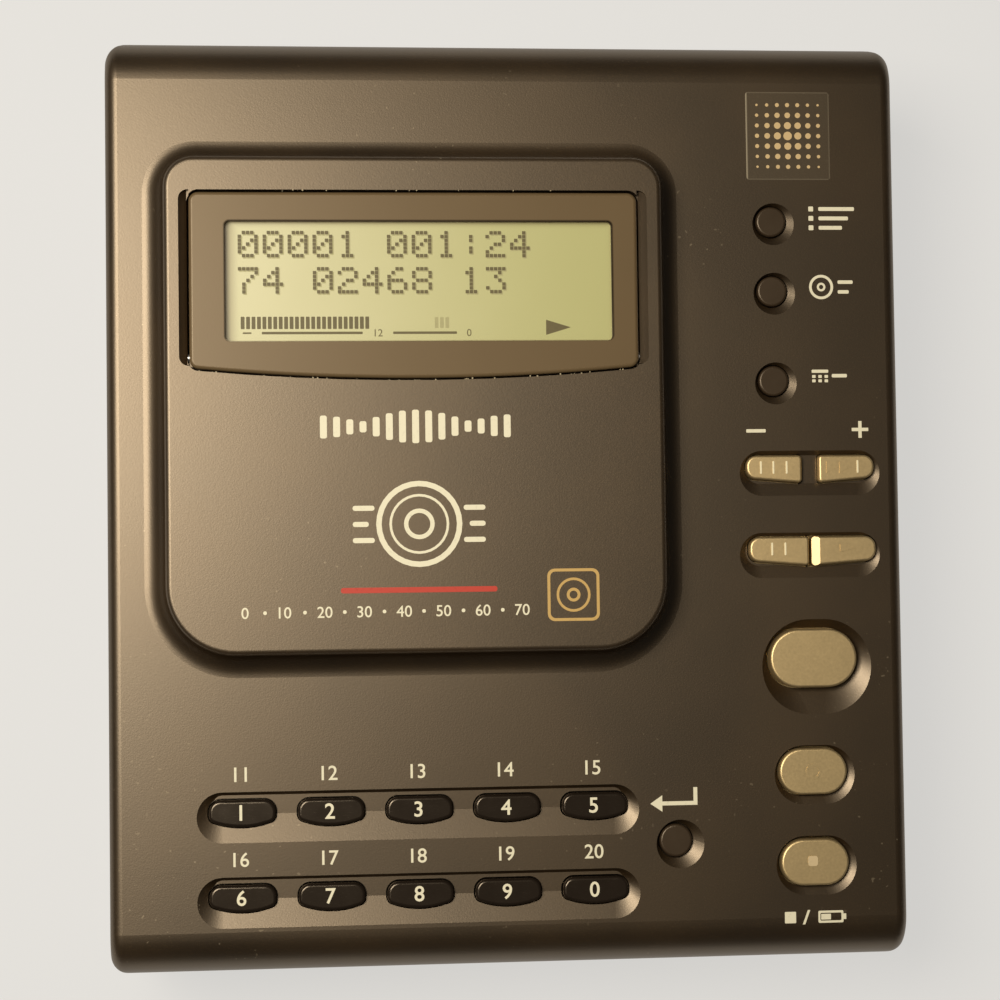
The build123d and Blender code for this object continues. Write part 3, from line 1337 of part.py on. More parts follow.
with BuildPart() as eject_button:
    head_y = (eject_y - eject_length / 2, eject_y + eject_length / 2)
    head_z = (side_control_z - eject_height / 2, side_control_z + eject_height / 2)
    plate_x = side_left + wall + control_sink
    plate(side_left + control_sink, plate_x + control_sink, head_y[0], head_y[1], head_z[0], head_z[1])
    fillet(eject_button.faces().sort_by(Axis.X)[0].edges(), eject_edge)
    plate(
        plate_x, plate_x + eject_plate, head_y[0] - eject_plate, head_y[1] + eject_plate,
        head_z[0] - eject_plate, head_z[1] + eject_plate,
    )
eject_button.part.label = "eject_button"
export_step(eject_button.part, "parts/eject_button.step")

# ---- feet and screws -------------------------------------------------------------------------------
with BuildPart() as feet:
    for x, y in foot_places:
        post(x, y, 0, case_bottom + foot_recess, foot_radius)
    fillet(feet.edges().group_by(Axis.Z)[0], foot_edge)
feet.part.label = "feet"
export_step(feet.part, "parts/feet.step")

with BuildPart() as case_screws:
    for x, y in boss_places:
        post(x, y, screw_head_z, screw_head_z + screw_head_height, screw_head)
        shank_top = under_deck - boss_roof - screw_reach
        post(x, y, screw_head_z + screw_head_height, shank_top, screw_radius)
        for turn in (0, 90):
            with BuildSketch(place(x, y, screw_head_z)):
                Rectangle(cross_length, cross_width, rotation=turn)
            extrude(amount=cross_depth, mode=Mode.SUBTRACT)
case_screws.part.label = "case_screws"
export_step(case_screws.part, "parts/case_screws.step")
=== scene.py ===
"""Finishes, prints and studio of a portable disc recorder, around its fixed frame."""

import json
import math

import bpy
import numpy as np
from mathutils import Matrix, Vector


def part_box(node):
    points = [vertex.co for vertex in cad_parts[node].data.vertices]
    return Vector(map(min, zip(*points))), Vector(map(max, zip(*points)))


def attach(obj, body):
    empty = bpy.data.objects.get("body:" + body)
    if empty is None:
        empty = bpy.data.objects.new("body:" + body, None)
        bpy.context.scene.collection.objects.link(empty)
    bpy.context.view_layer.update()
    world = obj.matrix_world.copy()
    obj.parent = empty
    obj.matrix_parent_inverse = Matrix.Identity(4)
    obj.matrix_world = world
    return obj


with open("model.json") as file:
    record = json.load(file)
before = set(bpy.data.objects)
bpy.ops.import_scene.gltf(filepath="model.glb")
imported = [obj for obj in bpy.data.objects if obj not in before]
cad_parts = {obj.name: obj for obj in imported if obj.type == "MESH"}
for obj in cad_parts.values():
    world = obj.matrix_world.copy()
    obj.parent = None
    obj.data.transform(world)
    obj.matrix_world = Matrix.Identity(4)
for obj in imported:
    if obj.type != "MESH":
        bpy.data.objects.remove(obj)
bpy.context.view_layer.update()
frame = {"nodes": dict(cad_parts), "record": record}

MM = 0.001  # lengths on the object are in millimetres, and meshes are written in metres


# ---- measures taken from the frame ---------------------------------------------------------------
def corners(node):
    """Lowest and highest corner of a CAD node, in millimetres."""
    low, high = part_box(node)
    return np.array(low) / MM, np.array(high) / MM


def middle(node):
    """Plan centre of a CAD node and the height of its top, in millimetres."""
    low, high = corners(node)
    return np.array([(low[0] + high[0]) / 2, (low[1] + high[1]) / 2, high[2]])


def near(node, shift):
    """The place in plan that lies this far from a CAD node's centre."""
    return middle(node)[:2] + shift


cover_low, cover_high = corners("top_cover")
window_low, window_high = corners("display_window")
cell_low, cell_high = corners("lcd_panel")
parting_z = cover_low[2]
deck_z = middle("track_key")[2]  # the round keys' tops are level with the deck,
block_z = window_high[2]  # and the display's window with the raised block
lcd_z = cell_high[2]
window_x = (window_low[0] + window_high[0]) / 2
window_half = (window_high[0] - window_low[0]) / 2

# ---- places that finishes and prints share -------------------------------------------------------
rim, front_rim = 1.5, 0.75  # how much of the cell the window's painted border hides
lcd_left, lcd_right = cell_low[0] + rim, cell_high[0] - rim
lcd_front, lcd_rear = cell_low[1] + front_rim, cell_high[1] - rim
lcd_corner = 0.7
film_place = cover_high[:2] - (15.46, 13.57)  # from the case's rear right corner
film_size = (12.1, 12.6)


# ---- shader formulas -----------------------------------------------------------------------------
def both_ways(operation):
    """An operator and its reflected form, which differ in the order of their terms."""

    def plain(self, other):
        return self.math(operation, self, other)

    def reflected(self, other):
        return self.math(operation, other, self)

    return plain, reflected


class Value:
    """A number or colour in a finish. Python's operators on it add Math nodes."""

    __add__, __radd__ = both_ways("ADD")
    __sub__, __rsub__ = both_ways("SUBTRACT")
    __mul__, __rmul__ = both_ways("MULTIPLY")
    __truediv__, __rtruediv__ = both_ways("DIVIDE")
    __pow__, __rpow__ = both_ways("POWER")

    def __init__(self, finish, socket):
        self.finish = finish
        self.socket = socket

    def math(self, operation, *terms):
        """One Math node on these terms, in this order."""
        return self.finish.node("ShaderNodeMath", {"operation": operation}, dict(enumerate(terms)))

    def __abs__(self):
        return self.math("ABSOLUTE", self)

    def sine(self):
        """Sine of an angle in radians."""
        return self.math("SINE", self)

    def least(self, other):
        """The smaller of the two."""
        return self.math("MINIMUM", self, other)

    def most(self, other):
        """The larger of the two."""
        return self.math("MAXIMUM", self, other)

    def rise(self, low, high):
        """0 below low, 1 above high and smooth between them."""
        settings = {"interpolation_type": "SMOOTHSTEP"}
        inputs = {"Value": self, "From Min": low, "From Max": high}
        return self.finish.node("ShaderNodeMapRange", settings, inputs)


class Finish:
    """A material whose one Principled shader is filled in by formulas."""

    mix_first, mix_second, mix_result = 6, 7, 2  # a Mix node's two colours and their blend

    def __init__(self, name, **values):
        """values go to the shader's sockets of those names."""
        self.material = bpy.data.materials.new(name)
        self.material.use_nodes = True
        self.nodes = self.material.node_tree.nodes
        self.links = self.material.node_tree.links
        self.shader = self.nodes["Principled BSDF"]
        for key, value in values.items():
            socket = key.replace("_", " ").title().replace("Ior", "IOR")
            self.shader.inputs[socket].default_value = value

    def node(self, kind, settings=None, inputs=None, output=0):
        """Add a node: its settings first, then the values or links of its sockets."""
        added = self.nodes.new(kind)
        for key, value in (settings or {}).items():
            setattr(added, key, value)
        for key, value in (inputs or {}).items():
            if isinstance(value, Value):
                self.links.new(value.socket, added.inputs[key])
            else:
                added.inputs[key].default_value = value
        return Value(self, added.outputs[output])

    def drive(self, name, value):
        """Let a value vary one of the shader's own sockets."""
        self.links.new(value.socket, self.shader.inputs[name])

    def place(self):
        """Position on the object in metres."""
        return self.node("ShaderNodeTexCoord", output="Object")

    def axes(self):
        """Position on the object as three numbers in millimetres."""
        split = self.node("ShaderNodeSeparateXYZ", inputs={0: self.place()})
        outputs = split.socket.node.outputs
        return [Value(self, output) / MM for output in outputs]

    def noise(self, size, detail=2.0, roughness=0.5, fineness=(1.0, 1.0, 1.0)):
        """Soft noise from 0 to 1, in lumps of this many millimetres, made finer along x, y and z."""
        where = self.node("ShaderNodeMapping", inputs={0: self.place(), "Scale": fineness})
        inputs = {"Vector": where, "Scale": 1 / (size * MM), "Detail": detail, "Roughness": roughness}
        return self.node("ShaderNodeTexNoise", {"noise_dimensions": "3D"}, inputs)

    def mix(self, factor, first, second):
        """Blend of two colours."""
        inputs = {0: factor, self.mix_first: first, self.mix_second: second}
        return self.node("ShaderNodeMix", {"data_type": "RGBA"}, inputs, self.mix_result)

    def bump(self, height, depth):
        """Relief of this many millimetres where height goes from 0 to 1."""
        inputs = {"Height": height, "Distance": depth * MM, "Strength": 1.0}
        self.drive("Normal", self.node("ShaderNodeBump", inputs=inputs))


def paint(red, green, blue):
    """A colour given as it looks on a screen, 0 to 255, as linear light."""
    shares = [channel / 255 for channel in (red, green, blue)]
    linear = [s / 12.92 if s <= 0.04045 else ((s + 0.055) / 1.055) ** 2.4 for s in shares]
    return (*linear, 1.0)


def shade(colour, share):
    """The same colour with this share of its light."""
    return [channel * share for channel in colour[:3]] + [1.0]


# ---- finishes ------------------------------------------------------------------------------------
warm_gloss = paint(255, 236, 208)


def satin_case(name, dark, light, grain_depth, roughness, seam_shaded=True):
    """Dark metallic paint: broad warm gloss, soft clouds, fine flakes, grain, stray dust, painted shade at
    the seam.
    """
    finish = Finish(name, metallic=0.12, ior=1.7, specular_ior_level=1.0, specular_tint=paint(255, 232, 200))
    cloud = finish.noise(22.0, detail=3.0)
    flake = finish.noise(0.16, detail=1.0, roughness=0.9)
    speck = finish.noise(0.55, detail=0.0).rise(0.815, 0.85)
    dust = speck * finish.noise(30.0).rise(0.45, 0.7)
    colour = finish.mix(cloud.rise(0.3, 0.7) * 0.25 + flake.rise(0.52, 0.75) * 0.6, dark, light)
    colour = finish.mix(dust * 0.3, colour, paint(176, 160, 130))
    roughness = roughness + cloud * 0.03 + flake * 0.08
    if seam_shaded:
        # painted shade: a thin band at the parting is darkened and dulled to stand for the shadow in the gap
        seam = 1 - abs(finish.axes()[2] - parting_z).rise(0.06, 0.16)
        colour = finish.mix(seam, colour, paint(8, 6, 4))
        roughness = roughness + seam * 0.5
    finish.drive("Base Color", colour)
    finish.drive("Roughness", roughness)
    finish.bump(finish.noise(0.22, roughness=0.7), grain_depth)
    return finish


def gloss_moulding(name, colour, roughness, wave):
    """Dark moulded plastic: nearly even colour, faint ripples and fine handling marks."""
    finish = Finish(name, specular_ior_level=0.7, specular_tint=warm_gloss)
    haze = finish.noise(3.0, detail=3.0)
    scuff = finish.noise(0.8, detail=4.0, roughness=0.7, fineness=(1.0, 6.0, 1.0)).rise(0.55, 0.8)
    finish.drive("Base Color", finish.mix(haze * 0.4, colour, shade(colour, 1.5)))
    finish.drive("Roughness", roughness + haze * 0.08 + scuff * 0.1)
    finish.bump(finish.noise(2.2, detail=1.0), wave)
    return finish


def satin_metal(name, colour, roughness, fineness):
    """Plated or turned metal with a drawn grain, finer along x, y and z by these factors."""
    finish = Finish(name, metallic=0.9)
    drawn = finish.noise(0.35, detail=3.0, roughness=0.7, fineness=fineness)
    cloud = finish.noise(4.0)
    finish.drive("Base Color", finish.mix(drawn * 0.6 + cloud * 0.4, shade(colour, 0.72), colour))
    finish.drive("Roughness", roughness + drawn * 0.12)
    finish.bump(drawn, 0.004)
    return finish


def soft_rubber(name, colour):
    """Matt rubber with a cloudy bloom and a fine tooth."""
    finish = Finish(name, specular_ior_level=0.3)
    bloom = finish.noise(2.5, detail=3.0)
    finish.drive("Base Color", finish.mix(bloom * 0.5, colour, shade(colour, 1.8)))
    finish.drive("Roughness", 0.7 + bloom * 0.2)
    finish.bump(finish.noise(0.3), 0.02)
    return finish


def printed_ink(name, colour):
    """Screen-printed ink, slightly uneven and thin in places."""
    finish = Finish(name)
    patch = finish.noise(0.5)
    finish.drive("Base Color", finish.mix(patch.rise(0.55, 0.8) * 0.48, colour, shade(colour, 0.7)))
    finish.drive("Roughness", 0.5 + patch * 0.1)
    return finish


def liquid_crystal():
    """The reflective cell: yellow-green, painted paler at its left as if lit, and painted shade along the
    frame over it.
    """
    finish = Finish("liquid_crystal", roughness=0.32, specular_ior_level=0.4)
    x, y, _ = finish.axes()
    # painted light: paler at the left, nearer the soft box, and darker towards the right
    tone_with_painted_light = finish.mix(x.rise(lcd_left, lcd_right), paint(231, 226, 178), paint(206, 204, 142))
    tone_with_painted_light = finish.mix(finish.noise(9.0) * 0.18, tone_with_painted_light, paint(190, 186, 122))
    # painted shadow of the frame that stands over the cell, strongest at its left, then its rear and right
    left_shadow = 1 - x.rise(lcd_left - 0.3, lcd_left + 2.2)
    rear_shadow = y.rise(lcd_rear - 1.0, lcd_rear + 0.6)
    right_shadow = x.rise(lcd_right - 0.6, lcd_right + 0.6)
    shadow = (left_shadow * 0.8).most(rear_shadow * 0.7).most(right_shadow * 0.5)
    finish.drive("Base Color", finish.mix(shadow, tone_with_painted_light, paint(140, 122, 84)))
    return finish


def framed_window():
    """Clear acrylic with a painted border: opaque outside a rounded rectangle, clear inside it.

    A point's distance from the rectangle is the length of what it lies past the corner's centre,
    less the corner's radius.
    """
    finish = Finish("framed_window", roughness=0.36, specular_tint=warm_gloss)
    x, y, _ = finish.axes()
    across = abs(x - (lcd_left + lcd_right) / 2) - ((lcd_right - lcd_left) / 2 - lcd_corner)
    along = abs(y - (lcd_front + lcd_rear) / 2) - ((lcd_rear - lcd_front) / 2 - lcd_corner)
    outside = (across.most(0.0) ** 2 + along.most(0.0) ** 2) ** 0.5
    edge = outside + across.most(along).least(0.0) - lcd_corner
    border = finish.mix(finish.noise(10.0) * 0.5, paint(102, 84, 58), paint(112, 93, 65))
    finish.drive("Base Color", border)
    finish.drive("Alpha", edge.rise(-0.10, 0.25) * 0.955 + 0.045)
    finish.bump(finish.noise(0.25), 0.003)
    return finish


def clear_film():
    """Thin clear film, seen by its gloss, its scratches, its cut edge and a painted highlight along its left
    edge.
    """
    finish = Finish("clear_film", roughness=0.22, base_color=paint(205, 190, 160))
    x, y, _ = finish.axes()
    half_width, half_height = film_size[0] / 2, film_size[1] / 2
    left = film_place[0] - half_width
    side_rims = abs(x - film_place[0]).rise(half_width - 0.22, half_width - 0.05)
    end_rims = abs(y - film_place[1]).rise(half_height - 0.22, half_height - 0.05)
    # painted highlight: the left cut edge is made more opaque, as if it caught the light
    left_edge_glint = 1 - x.rise(left + 0.1, left + 0.3)
    scratch = finish.noise(0.9, detail=3.0, roughness=0.7, fineness=(1.0, 5.0, 1.0)).rise(0.62, 0.75)
    finish.drive("Alpha", side_rims.most(end_rims) * 0.12 + left_edge_glint * 0.4 + scratch * 0.10 + 0.04)
    return finish


def green_board():
    """Lacquered circuit board with tracks that wander across it."""
    finish = Finish("green_board", roughness=0.35)
    lanes = (finish.axes()[0] * 1.3 + finish.noise(8.0) * 4).sine()
    tracks = lanes.rise(0.3, 0.5) * finish.noise(6.0).rise(0.45, 0.55)
    finish.drive("Base Color", finish.mix(tracks, paint(14, 74, 42), paint(40, 118, 66)))
    return finish


def disc_mirror():
    """Reflective recording layer with a faint cloudy tint."""
    finish = Finish("disc_mirror", metallic=1.0, roughness=0.12)
    finish.drive("Base Color", finish.mix(finish.noise(3.0), paint(190, 170, 205), paint(225, 200, 170)))
    return finish


def black_felt():
    """Black pile."""
    finish = Finish("felt", roughness=0.95, sheen_weight=0.4)
    pile = finish.noise(0.25, detail=3.0)
    finish.drive("Base Color", finish.mix(pile, paint(16, 15, 15), paint(44, 41, 38)))
    finish.bump(pile, 0.08)
    return finish


even_grain = (1.0, 1.0, 1.0)
lines_along_x = (1.0, 8.0, 1.0)
lines_along_y = (8.0, 1.0, 1.0)
rod_along_y = (6.0, 1.0, 6.0)
level_lines = (1.0, 1.0, 6.0)
finishes = {
    "case_top": satin_case("case_paint", paint(30, 20, 8), paint(66, 48, 24), 0.009, 0.34),
    "case_bottom": satin_case("base_paint", paint(30, 20, 9), paint(62, 46, 24), 0.018, 0.42),
    "door": satin_case("door_paint", paint(30, 20, 9), paint(63, 46, 25), 0.014, 0.38, seam_shaded=False),
    "bezel": satin_case("bezel_paint", paint(28, 20, 10), paint(56, 41, 22), 0.01, 0.38, seam_shaded=False),
    "window": framed_window(),
    "lcd": liquid_crystal(),
    "gloss_key": gloss_moulding("gloss_key", paint(30, 23, 17), 0.2, 0.006),
    "round_key": gloss_moulding("round_key", paint(52, 40, 27), 0.34, 0.006),
    "metal_key": satin_metal("champagne_key", paint(232, 204, 150), 0.42, even_grain),
    "dome_rubber": soft_rubber("dome_rubber", paint(160, 158, 150)),
    "circuit_board": green_board(),
    "chip": gloss_moulding("chip", paint(32, 32, 34), 0.5, 0.01),
    "sheet_steel": satin_metal("sheet_steel", paint(196, 194, 186), 0.35, lines_along_x),
    "steel": satin_metal("turned_steel", paint(205, 203, 198), 0.25, rod_along_y),
    "black_rubber": soft_rubber("black_rubber", paint(32, 31, 30)),
    "foot_rubber": soft_rubber("foot_rubber", paint(38, 36, 34)),
    "motor_can": satin_metal("motor_can", paint(190, 186, 172), 0.3, lines_along_x),
    "pickup_plastic": gloss_moulding("pickup_plastic", paint(38, 38, 40), 0.45, 0.01),
    "cartridge": gloss_moulding("cartridge", paint(74, 80, 92), 0.35, 0.008),
    "shutter": satin_metal("shutter", paint(214, 213, 208), 0.3, lines_along_y),
    "disc": disc_mirror(),
    "felt": black_felt(),
    "battery": gloss_moulding("battery_case", paint(52, 52, 55), 0.4, 0.01),
    "contact": satin_metal("contact", paint(214, 178, 110), 0.3, level_lines),
    "jack_plastic": gloss_moulding("jack_plastic", paint(26, 25, 25), 0.4, 0.01),
    "control": gloss_moulding("control", paint(40, 34, 29), 0.35, 0.01),
}
cream_ink = printed_ink("cream_ink", paint(240, 232, 200))
red_ink = printed_ink("red_ink", paint(196, 58, 34))
gold_ink = printed_ink("gold_ink", paint(206, 168, 96))
dot_ink = printed_ink("dot_ink", paint(214, 184, 132))
crystal_ink = printed_ink("crystal_ink", paint(108, 98, 60))
# a pale tint of the cell, for the faint unlit segments and for the painted shadows of the lit dots
crystal_ghost_and_shadow = printed_ink("crystal_ghost_and_shadow", paint(186, 180, 128))
lint_grey = printed_ink("lint_grey", paint(186, 170, 134))
# painted highlights: pale cream that stands for the light glinting on the raised ticks and the stop square
painted_glint = printed_ink("painted_glint", paint(252, 238, 196))
painted_soft_glint = printed_ink("painted_soft_glint", paint(214, 190, 146))

# every node of the frame wears the finish of its own slot
for subpart in frame["record"]["subparts"]:
    for slot in frame["nodes"][subpart["node"]].material_slots:
        slot.material = finishes[subpart["material_slot"]].material


# ---- shapes --------------------------------------------------------------------------------------
def rounded(width, height, radius, steps=6):
    """Outline of a rectangle with round corners: a quarter circle about each corner's centre."""
    turn = np.linspace(0, math.pi / 2, steps)
    quarters = []
    for quadrant, (side, end) in enumerate(((1, 1), (-1, 1), (-1, -1), (1, -1))):
        angle = turn + quadrant * math.pi / 2
        quarter = radius * np.stack([np.cos(angle), np.sin(angle)], 1)
        quarters.append(quarter + (side * (width / 2 - radius), end * (height / 2 - radius)))
    return np.concatenate(quarters)


def circle(radius, steps=32):
    """Outline of a circle: radius times (cos t, sin t)."""
    turn = np.linspace(0, 2 * math.pi, steps, endpoint=False)
    return radius * np.stack([np.cos(turn), np.sin(turn)], 1)


def ring_faces(count, start, following):
    """Four-sided faces between the ring of points that begins at one index and the ring at another."""
    here = np.arange(count)
    after = np.roll(here, -1)
    return np.stack([here + start, after + start, after + following, here + following], 1)


def slab(outline, centre, low, high):
    """Closed flat piece: an outline carried straight up from low to high, with a face at either end."""
    count = len(outline)
    flat = outline + np.asarray(centre)
    rings = [np.column_stack([flat, np.full(count, z)]) for z in (low, high)]
    ends = [list(range(count))[::-1], list(range(count, 2 * count))]
    return np.concatenate(rings), ring_faces(count, 0, count).tolist() + ends


def band(outer, inner, centre, low, high):
    """Closed hoop: a rectangular section carried round between two outlines of equal length."""
    count = len(outer)
    section = ((outer, low), (outer, high), (inner, high), (inner, low))
    rings = [np.column_stack([line + np.asarray(centre), np.full(count, z)]) for line, z in section]
    faces = []
    for ring in range(len(section)):
        faces += ring_faces(count, ring * count, (ring + 1) % len(section) * count).tolist()
    return np.concatenate(rings), faces


def dots(centres, radii, low, high, steps=16, turn=0.0):
    """Many small closed posts at once: every centre gets radius times (cos t, sin t) at both heights."""
    angle = np.linspace(0, 2 * math.pi, steps, endpoint=False) + turn
    unit = np.stack([np.cos(angle), np.sin(angle)], 1)
    flat = np.asarray(centres)[:, None] + np.asarray(radii)[:, None, None] * unit
    count = len(flat)
    both_rings = np.repeat(flat[:, None], 2, 1)
    heights = np.broadcast_to(np.array([low, high])[None, :, None, None], (count, 2, steps, 1))
    points = np.concatenate([both_rings, heights], 3)
    here = np.arange(steps)
    base = np.arange(count)[:, None, None] * 2 * steps
    faces = (ring_faces(steps, 0, steps)[None] + base).reshape(-1, 4).tolist()
    faces += (here[::-1][None] + base[:, 0]).tolist()
    faces += (here[None] + steps + base[:, 0]).tolist()
    return points.reshape(-1, 3), faces


def figures(text, height, centre, low, high, weight=0.0):
    """Plain numerals of this height about a point, as a closed raised mesh, with strokes grown by weight."""
    curve = bpy.data.curves.new("figures", "FONT")
    curve.body = text
    curve.align_x = "CENTER"
    curve.align_y = "CENTER"
    curve.resolution_u = 4
    curve.extrude = 0.5
    curve.offset = weight
    carrier = bpy.data.objects.new("figures", curve)
    bpy.context.scene.collection.objects.link(carrier)
    bpy.context.view_layer.update()
    mesh = bpy.data.meshes.new_from_object(carrier.evaluated_get(bpy.context.evaluated_depsgraph_get()))
    points = np.empty(len(mesh.vertices) * 3)
    mesh.vertices.foreach_get("co", points)
    points = points.reshape(-1, 3)
    faces = [list(face.vertices) for face in mesh.polygons]
    bpy.data.objects.remove(carrier)
    bpy.data.meshes.remove(mesh)
    bpy.data.curves.remove(curve)
    lowest = points.min(0)
    highest = points.max(0)
    scale = height / (highest[1] - lowest[1])
    points[:, :2] = (points[:, :2] - (lowest + highest)[:2] / 2) * scale + np.asarray(centre)
    points[:, 2] = low + (points[:, 2] - lowest[2]) / (highest[2] - lowest[2]) * (high - low)
    return points, faces


def piece(name, parts, finish, body):
    """One object from several (points, faces) shapes in millimetres, riding on a body."""
    points = []
    faces = []
    start = 0
    for shape_points, shape_faces in parts:
        points.append(shape_points)
        faces += [[index + start for index in face] for face in shape_faces]
        start += len(shape_points)
    mesh = bpy.data.meshes.new(name)
    mesh.from_pydata((np.concatenate(points) * MM).tolist(), [], faces)
    mesh.validate()
    mesh.update()
    mesh.materials.append(finish.material)
    made = bpy.data.objects.new(name, mesh)
    bpy.context.scene.collection.objects.link(made)
    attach(made, body)


ink_sink = 0.03  # how far a print reaches into its surface
ink_film = 0.025  # how far it stands above it


def ink_span(z):
    """The two heights between which a print on a level surface stands."""
    return z - ink_sink, z + ink_film


def ink(outline, centre, z):
    """A printed area."""
    return slab(outline, centre, *ink_span(z))


def bar_ink(size, corner, centre, z):
    """A printed bar of this width and height, with small round corners."""
    return ink(rounded(*size, corner, 3), centre, z)


def ring_ink(radius, stroke, centre, z):
    """A printed ring of this outer radius."""
    return band(circle(radius), circle(radius - stroke), centre, *ink_span(z))


def figure_ink(text, height, centre, z, weight):
    """Printed numerals."""
    return figures(text, height, centre, *ink_span(z), weight)


# ---- display: lit dots, the faint shadows of dots, and the level meter ---------------------------
DIGIT_ROWS = {  # the dots of each numeral, from its rear row to its front row
    "0": ("01110", "10001", "10011", "10101", "11001", "10001", "01110"),
    "1": ("00100", "01100", "00100", "00100", "00100", "00100", "01110"),
    "2": ("01110", "10001", "00001", "00110", "01000", "10000", "11111"),
    "3": ("11111", "00010", "00100", "00010", "00001", "10001", "01110"),
    "4": ("00010", "00110", "01010", "10010", "11111", "00010", "00010"),
    "5": ("11111", "10000", "11110", "00001", "00001", "10001", "01110"),
    "6": ("00110", "01000", "10000", "11110", "10001", "10001", "01110"),
    "7": ("11111", "00001", "00010", "00100", "01000", "01000", "01000"),
    "8": ("01110", "10001", "10001", "01110", "10001", "10001", "01110"),
    "9": ("01110", "10001", "10001", "01111", "00001", "00010", "01100"),
    ":": ("00000", "00100", "00100", "00000", "00100", "00100", "00000"),
}
dot_pitch = (0.565, 0.53)
dot_size = 0.47
numeral_pitch = 3.41
line_left = lcd_left + 2.05
line_rears = (lcd_rear - 1.45, lcd_rear - 6.45)
line_texts = ("00001 001:24", "74 02468 13")
segment_pitch = 0.741
segment_y = lcd_front + 2.6
lit_left, lit_count, lit_size = lcd_left + 2.4, 24, (0.52, 1.7)
idle_left, idle_count, idle_size = lcd_left + 29.0, 3, (0.5, 1.5)
scale_y = lcd_front + 1.2
scale_bars = ((13.8, 0.34, 11.9), (8.8, 0.34, 27.4), (1.2, 0.22, 3.0))  # width, height, way from the left
scale_figures = (("12", 21.0), ("0", 33.5))
play_arrow = np.array([[-1.7, -1.05], [1.75, 0.0], [-1.7, 1.05]])
play_arrow_place = (lcd_left + 45.9, lcd_front + 1.9)
dot_span = (lcd_z - 0.02, lcd_z + 0.05)  # the two heights between which each kind of mark stands
meter_span = (lcd_z - 0.03, lcd_z + 0.03)
ghost_and_shadow_span = (lcd_z - 0.02, lcd_z + 0.015)
# how far the painted shadows of the dots lie from the dots
dot_shadow_shift = np.array([0.16, -0.16])


def lit_dots():
    """Centres of the dots that the two lines of numerals turn on."""
    lit = []
    for rear, text in zip(line_rears, line_texts):
        for cell, numeral in enumerate(text):
            left = line_left + cell * numeral_pitch
            for row, bits in enumerate(DIGIT_ROWS.get(numeral, ())):
                y = rear - row * dot_pitch[1]
                lit += [(left + column * dot_pitch[0], y) for column, bit in enumerate(bits) if bit == "1"]
    return np.array(lit)


def segments(left, count, size, span):
    """A row of upright segments of the level meter."""
    outline = rounded(*size, 0.06, 2)
    return [slab(outline, (left + segment_pitch * step, segment_y), *span) for step in range(count)]


def level_meter():
    """Lit segments of the level meter, its scale and the play arrow."""
    parts = segments(lit_left, lit_count, lit_size, meter_span)
    for width, height, way in scale_bars:
        parts.append(slab(rounded(width, height, 0.05, 2), (lcd_left + way, scale_y), *meter_span))
    for text, way in scale_figures:
        parts.append(figures(text, 1.0, (lcd_left + way, scale_y), *meter_span))
    parts.append(slab(play_arrow, play_arrow_place, *meter_span))
    return parts


lit = lit_dots()
half_dot = np.full(len(lit), dot_size / math.sqrt(2))  # from a square dot's centre to its corners
square = {"steps": 4, "turn": math.pi / 4}
characters = dots(lit, half_dot, *dot_span, **square)
piece("display_characters", [characters], crystal_ink, "display_panel")
piece("display_meter", level_meter(), crystal_ink, "display_panel")
# painted shadows of the lit dots, a little larger and shifted, and the faint unlit segments of the meter
ghosts_and_dot_shadows = [dots(lit + dot_shadow_shift, half_dot * 1.05, *ghost_and_shadow_span, **square)]
ghosts_and_dot_shadows += segments(idle_left, idle_count, idle_size, ghost_and_shadow_span)
piece("display_ghosts_and_dot_shadows", ghosts_and_dot_shadows, crystal_ghost_and_shadow, "display_panel")

# ---- numerals on the number keys, and the second numbers behind them -----------------------------
digit_shift, digit_height = (-0.2, 0.15), 2.15
second_shift, second_height = (-0.2, 5.4), 2.0
deck_prints = []
for digit in "1234567890":
    key = "number_key_" + digit
    mark = figure_ink(digit, digit_height, near(key, digit_shift), middle(key)[2], 0.012)
    piece("numeral_" + digit, [mark], cream_ink, "digit_" + digit + "_cap")
    second = str(10 + (int(digit) or 10))
    deck_prints.append(figure_ink(second, second_height, near(key, second_shift), deck_z, 0.008))


# ---- signs on the deck ---------------------------------------------------------------------------
def skip_signs(minus_place, plus_place):
    """A minus and a plus."""
    arm, half = 1.2, 0.24
    cross = np.array(
        [
            [arm, -half], [arm, half], [half, half], [half, arm], [-half, arm], [-half, half],
            [-arm, half], [-arm, -half], [-half, -half], [-half, -arm], [half, -arm], [half, -half],
        ]
    )
    return [bar_ink((2.8, 2 * half), 0.1, minus_place, deck_z), ink(cross, plus_place, deck_z)]


def list_sign(x, y):
    """Three lines of a list, each shorter than the one behind it, with a square at its head."""
    head, pitch, gap = 0.7, 1.35, 1.1
    signs = []
    for line in range(3):
        long = 5.2 - 0.9 * line
        signs.append(bar_ink((head, head), 0.1, (x, y - pitch * line), deck_z))
        signs.append(bar_ink((long, 0.55), 0.15, (x + gap + long / 2, y - pitch * line), deck_z))
    return signs


def disc_sign(x, y):
    """A disc with its hub, and two lines beside it."""
    signs = [ring_ink(1.75, 0.38, (x, y), deck_z), ring_ink(0.62, 0.3, (x, y), deck_z)]
    signs.append(bar_ink((2.2, 0.5), 0.15, (x + 3.5, y + 0.7), deck_z))
    signs.append(bar_ink((1.6, 0.5), 0.15, (x + 3.2, y - 0.7), deck_z))
    return signs


def calendar_sign(x, y):
    """A calendar's head over two rows of days, and a dash beside it."""
    signs = [bar_ink((2.4, 0.45), 0.1, (x, y), deck_z)]
    for column in range(3):
        for row in range(2):
            day_place = (x + 0.9 * (column - 1), y - 0.75 - 0.62 * row)
            signs.append(bar_ink((0.5, 0.42), 0.08, day_place, deck_z))
    signs.append(bar_ink((2.2, 0.5), 0.15, (x + 2.8, y - 0.65), deck_z))
    return signs


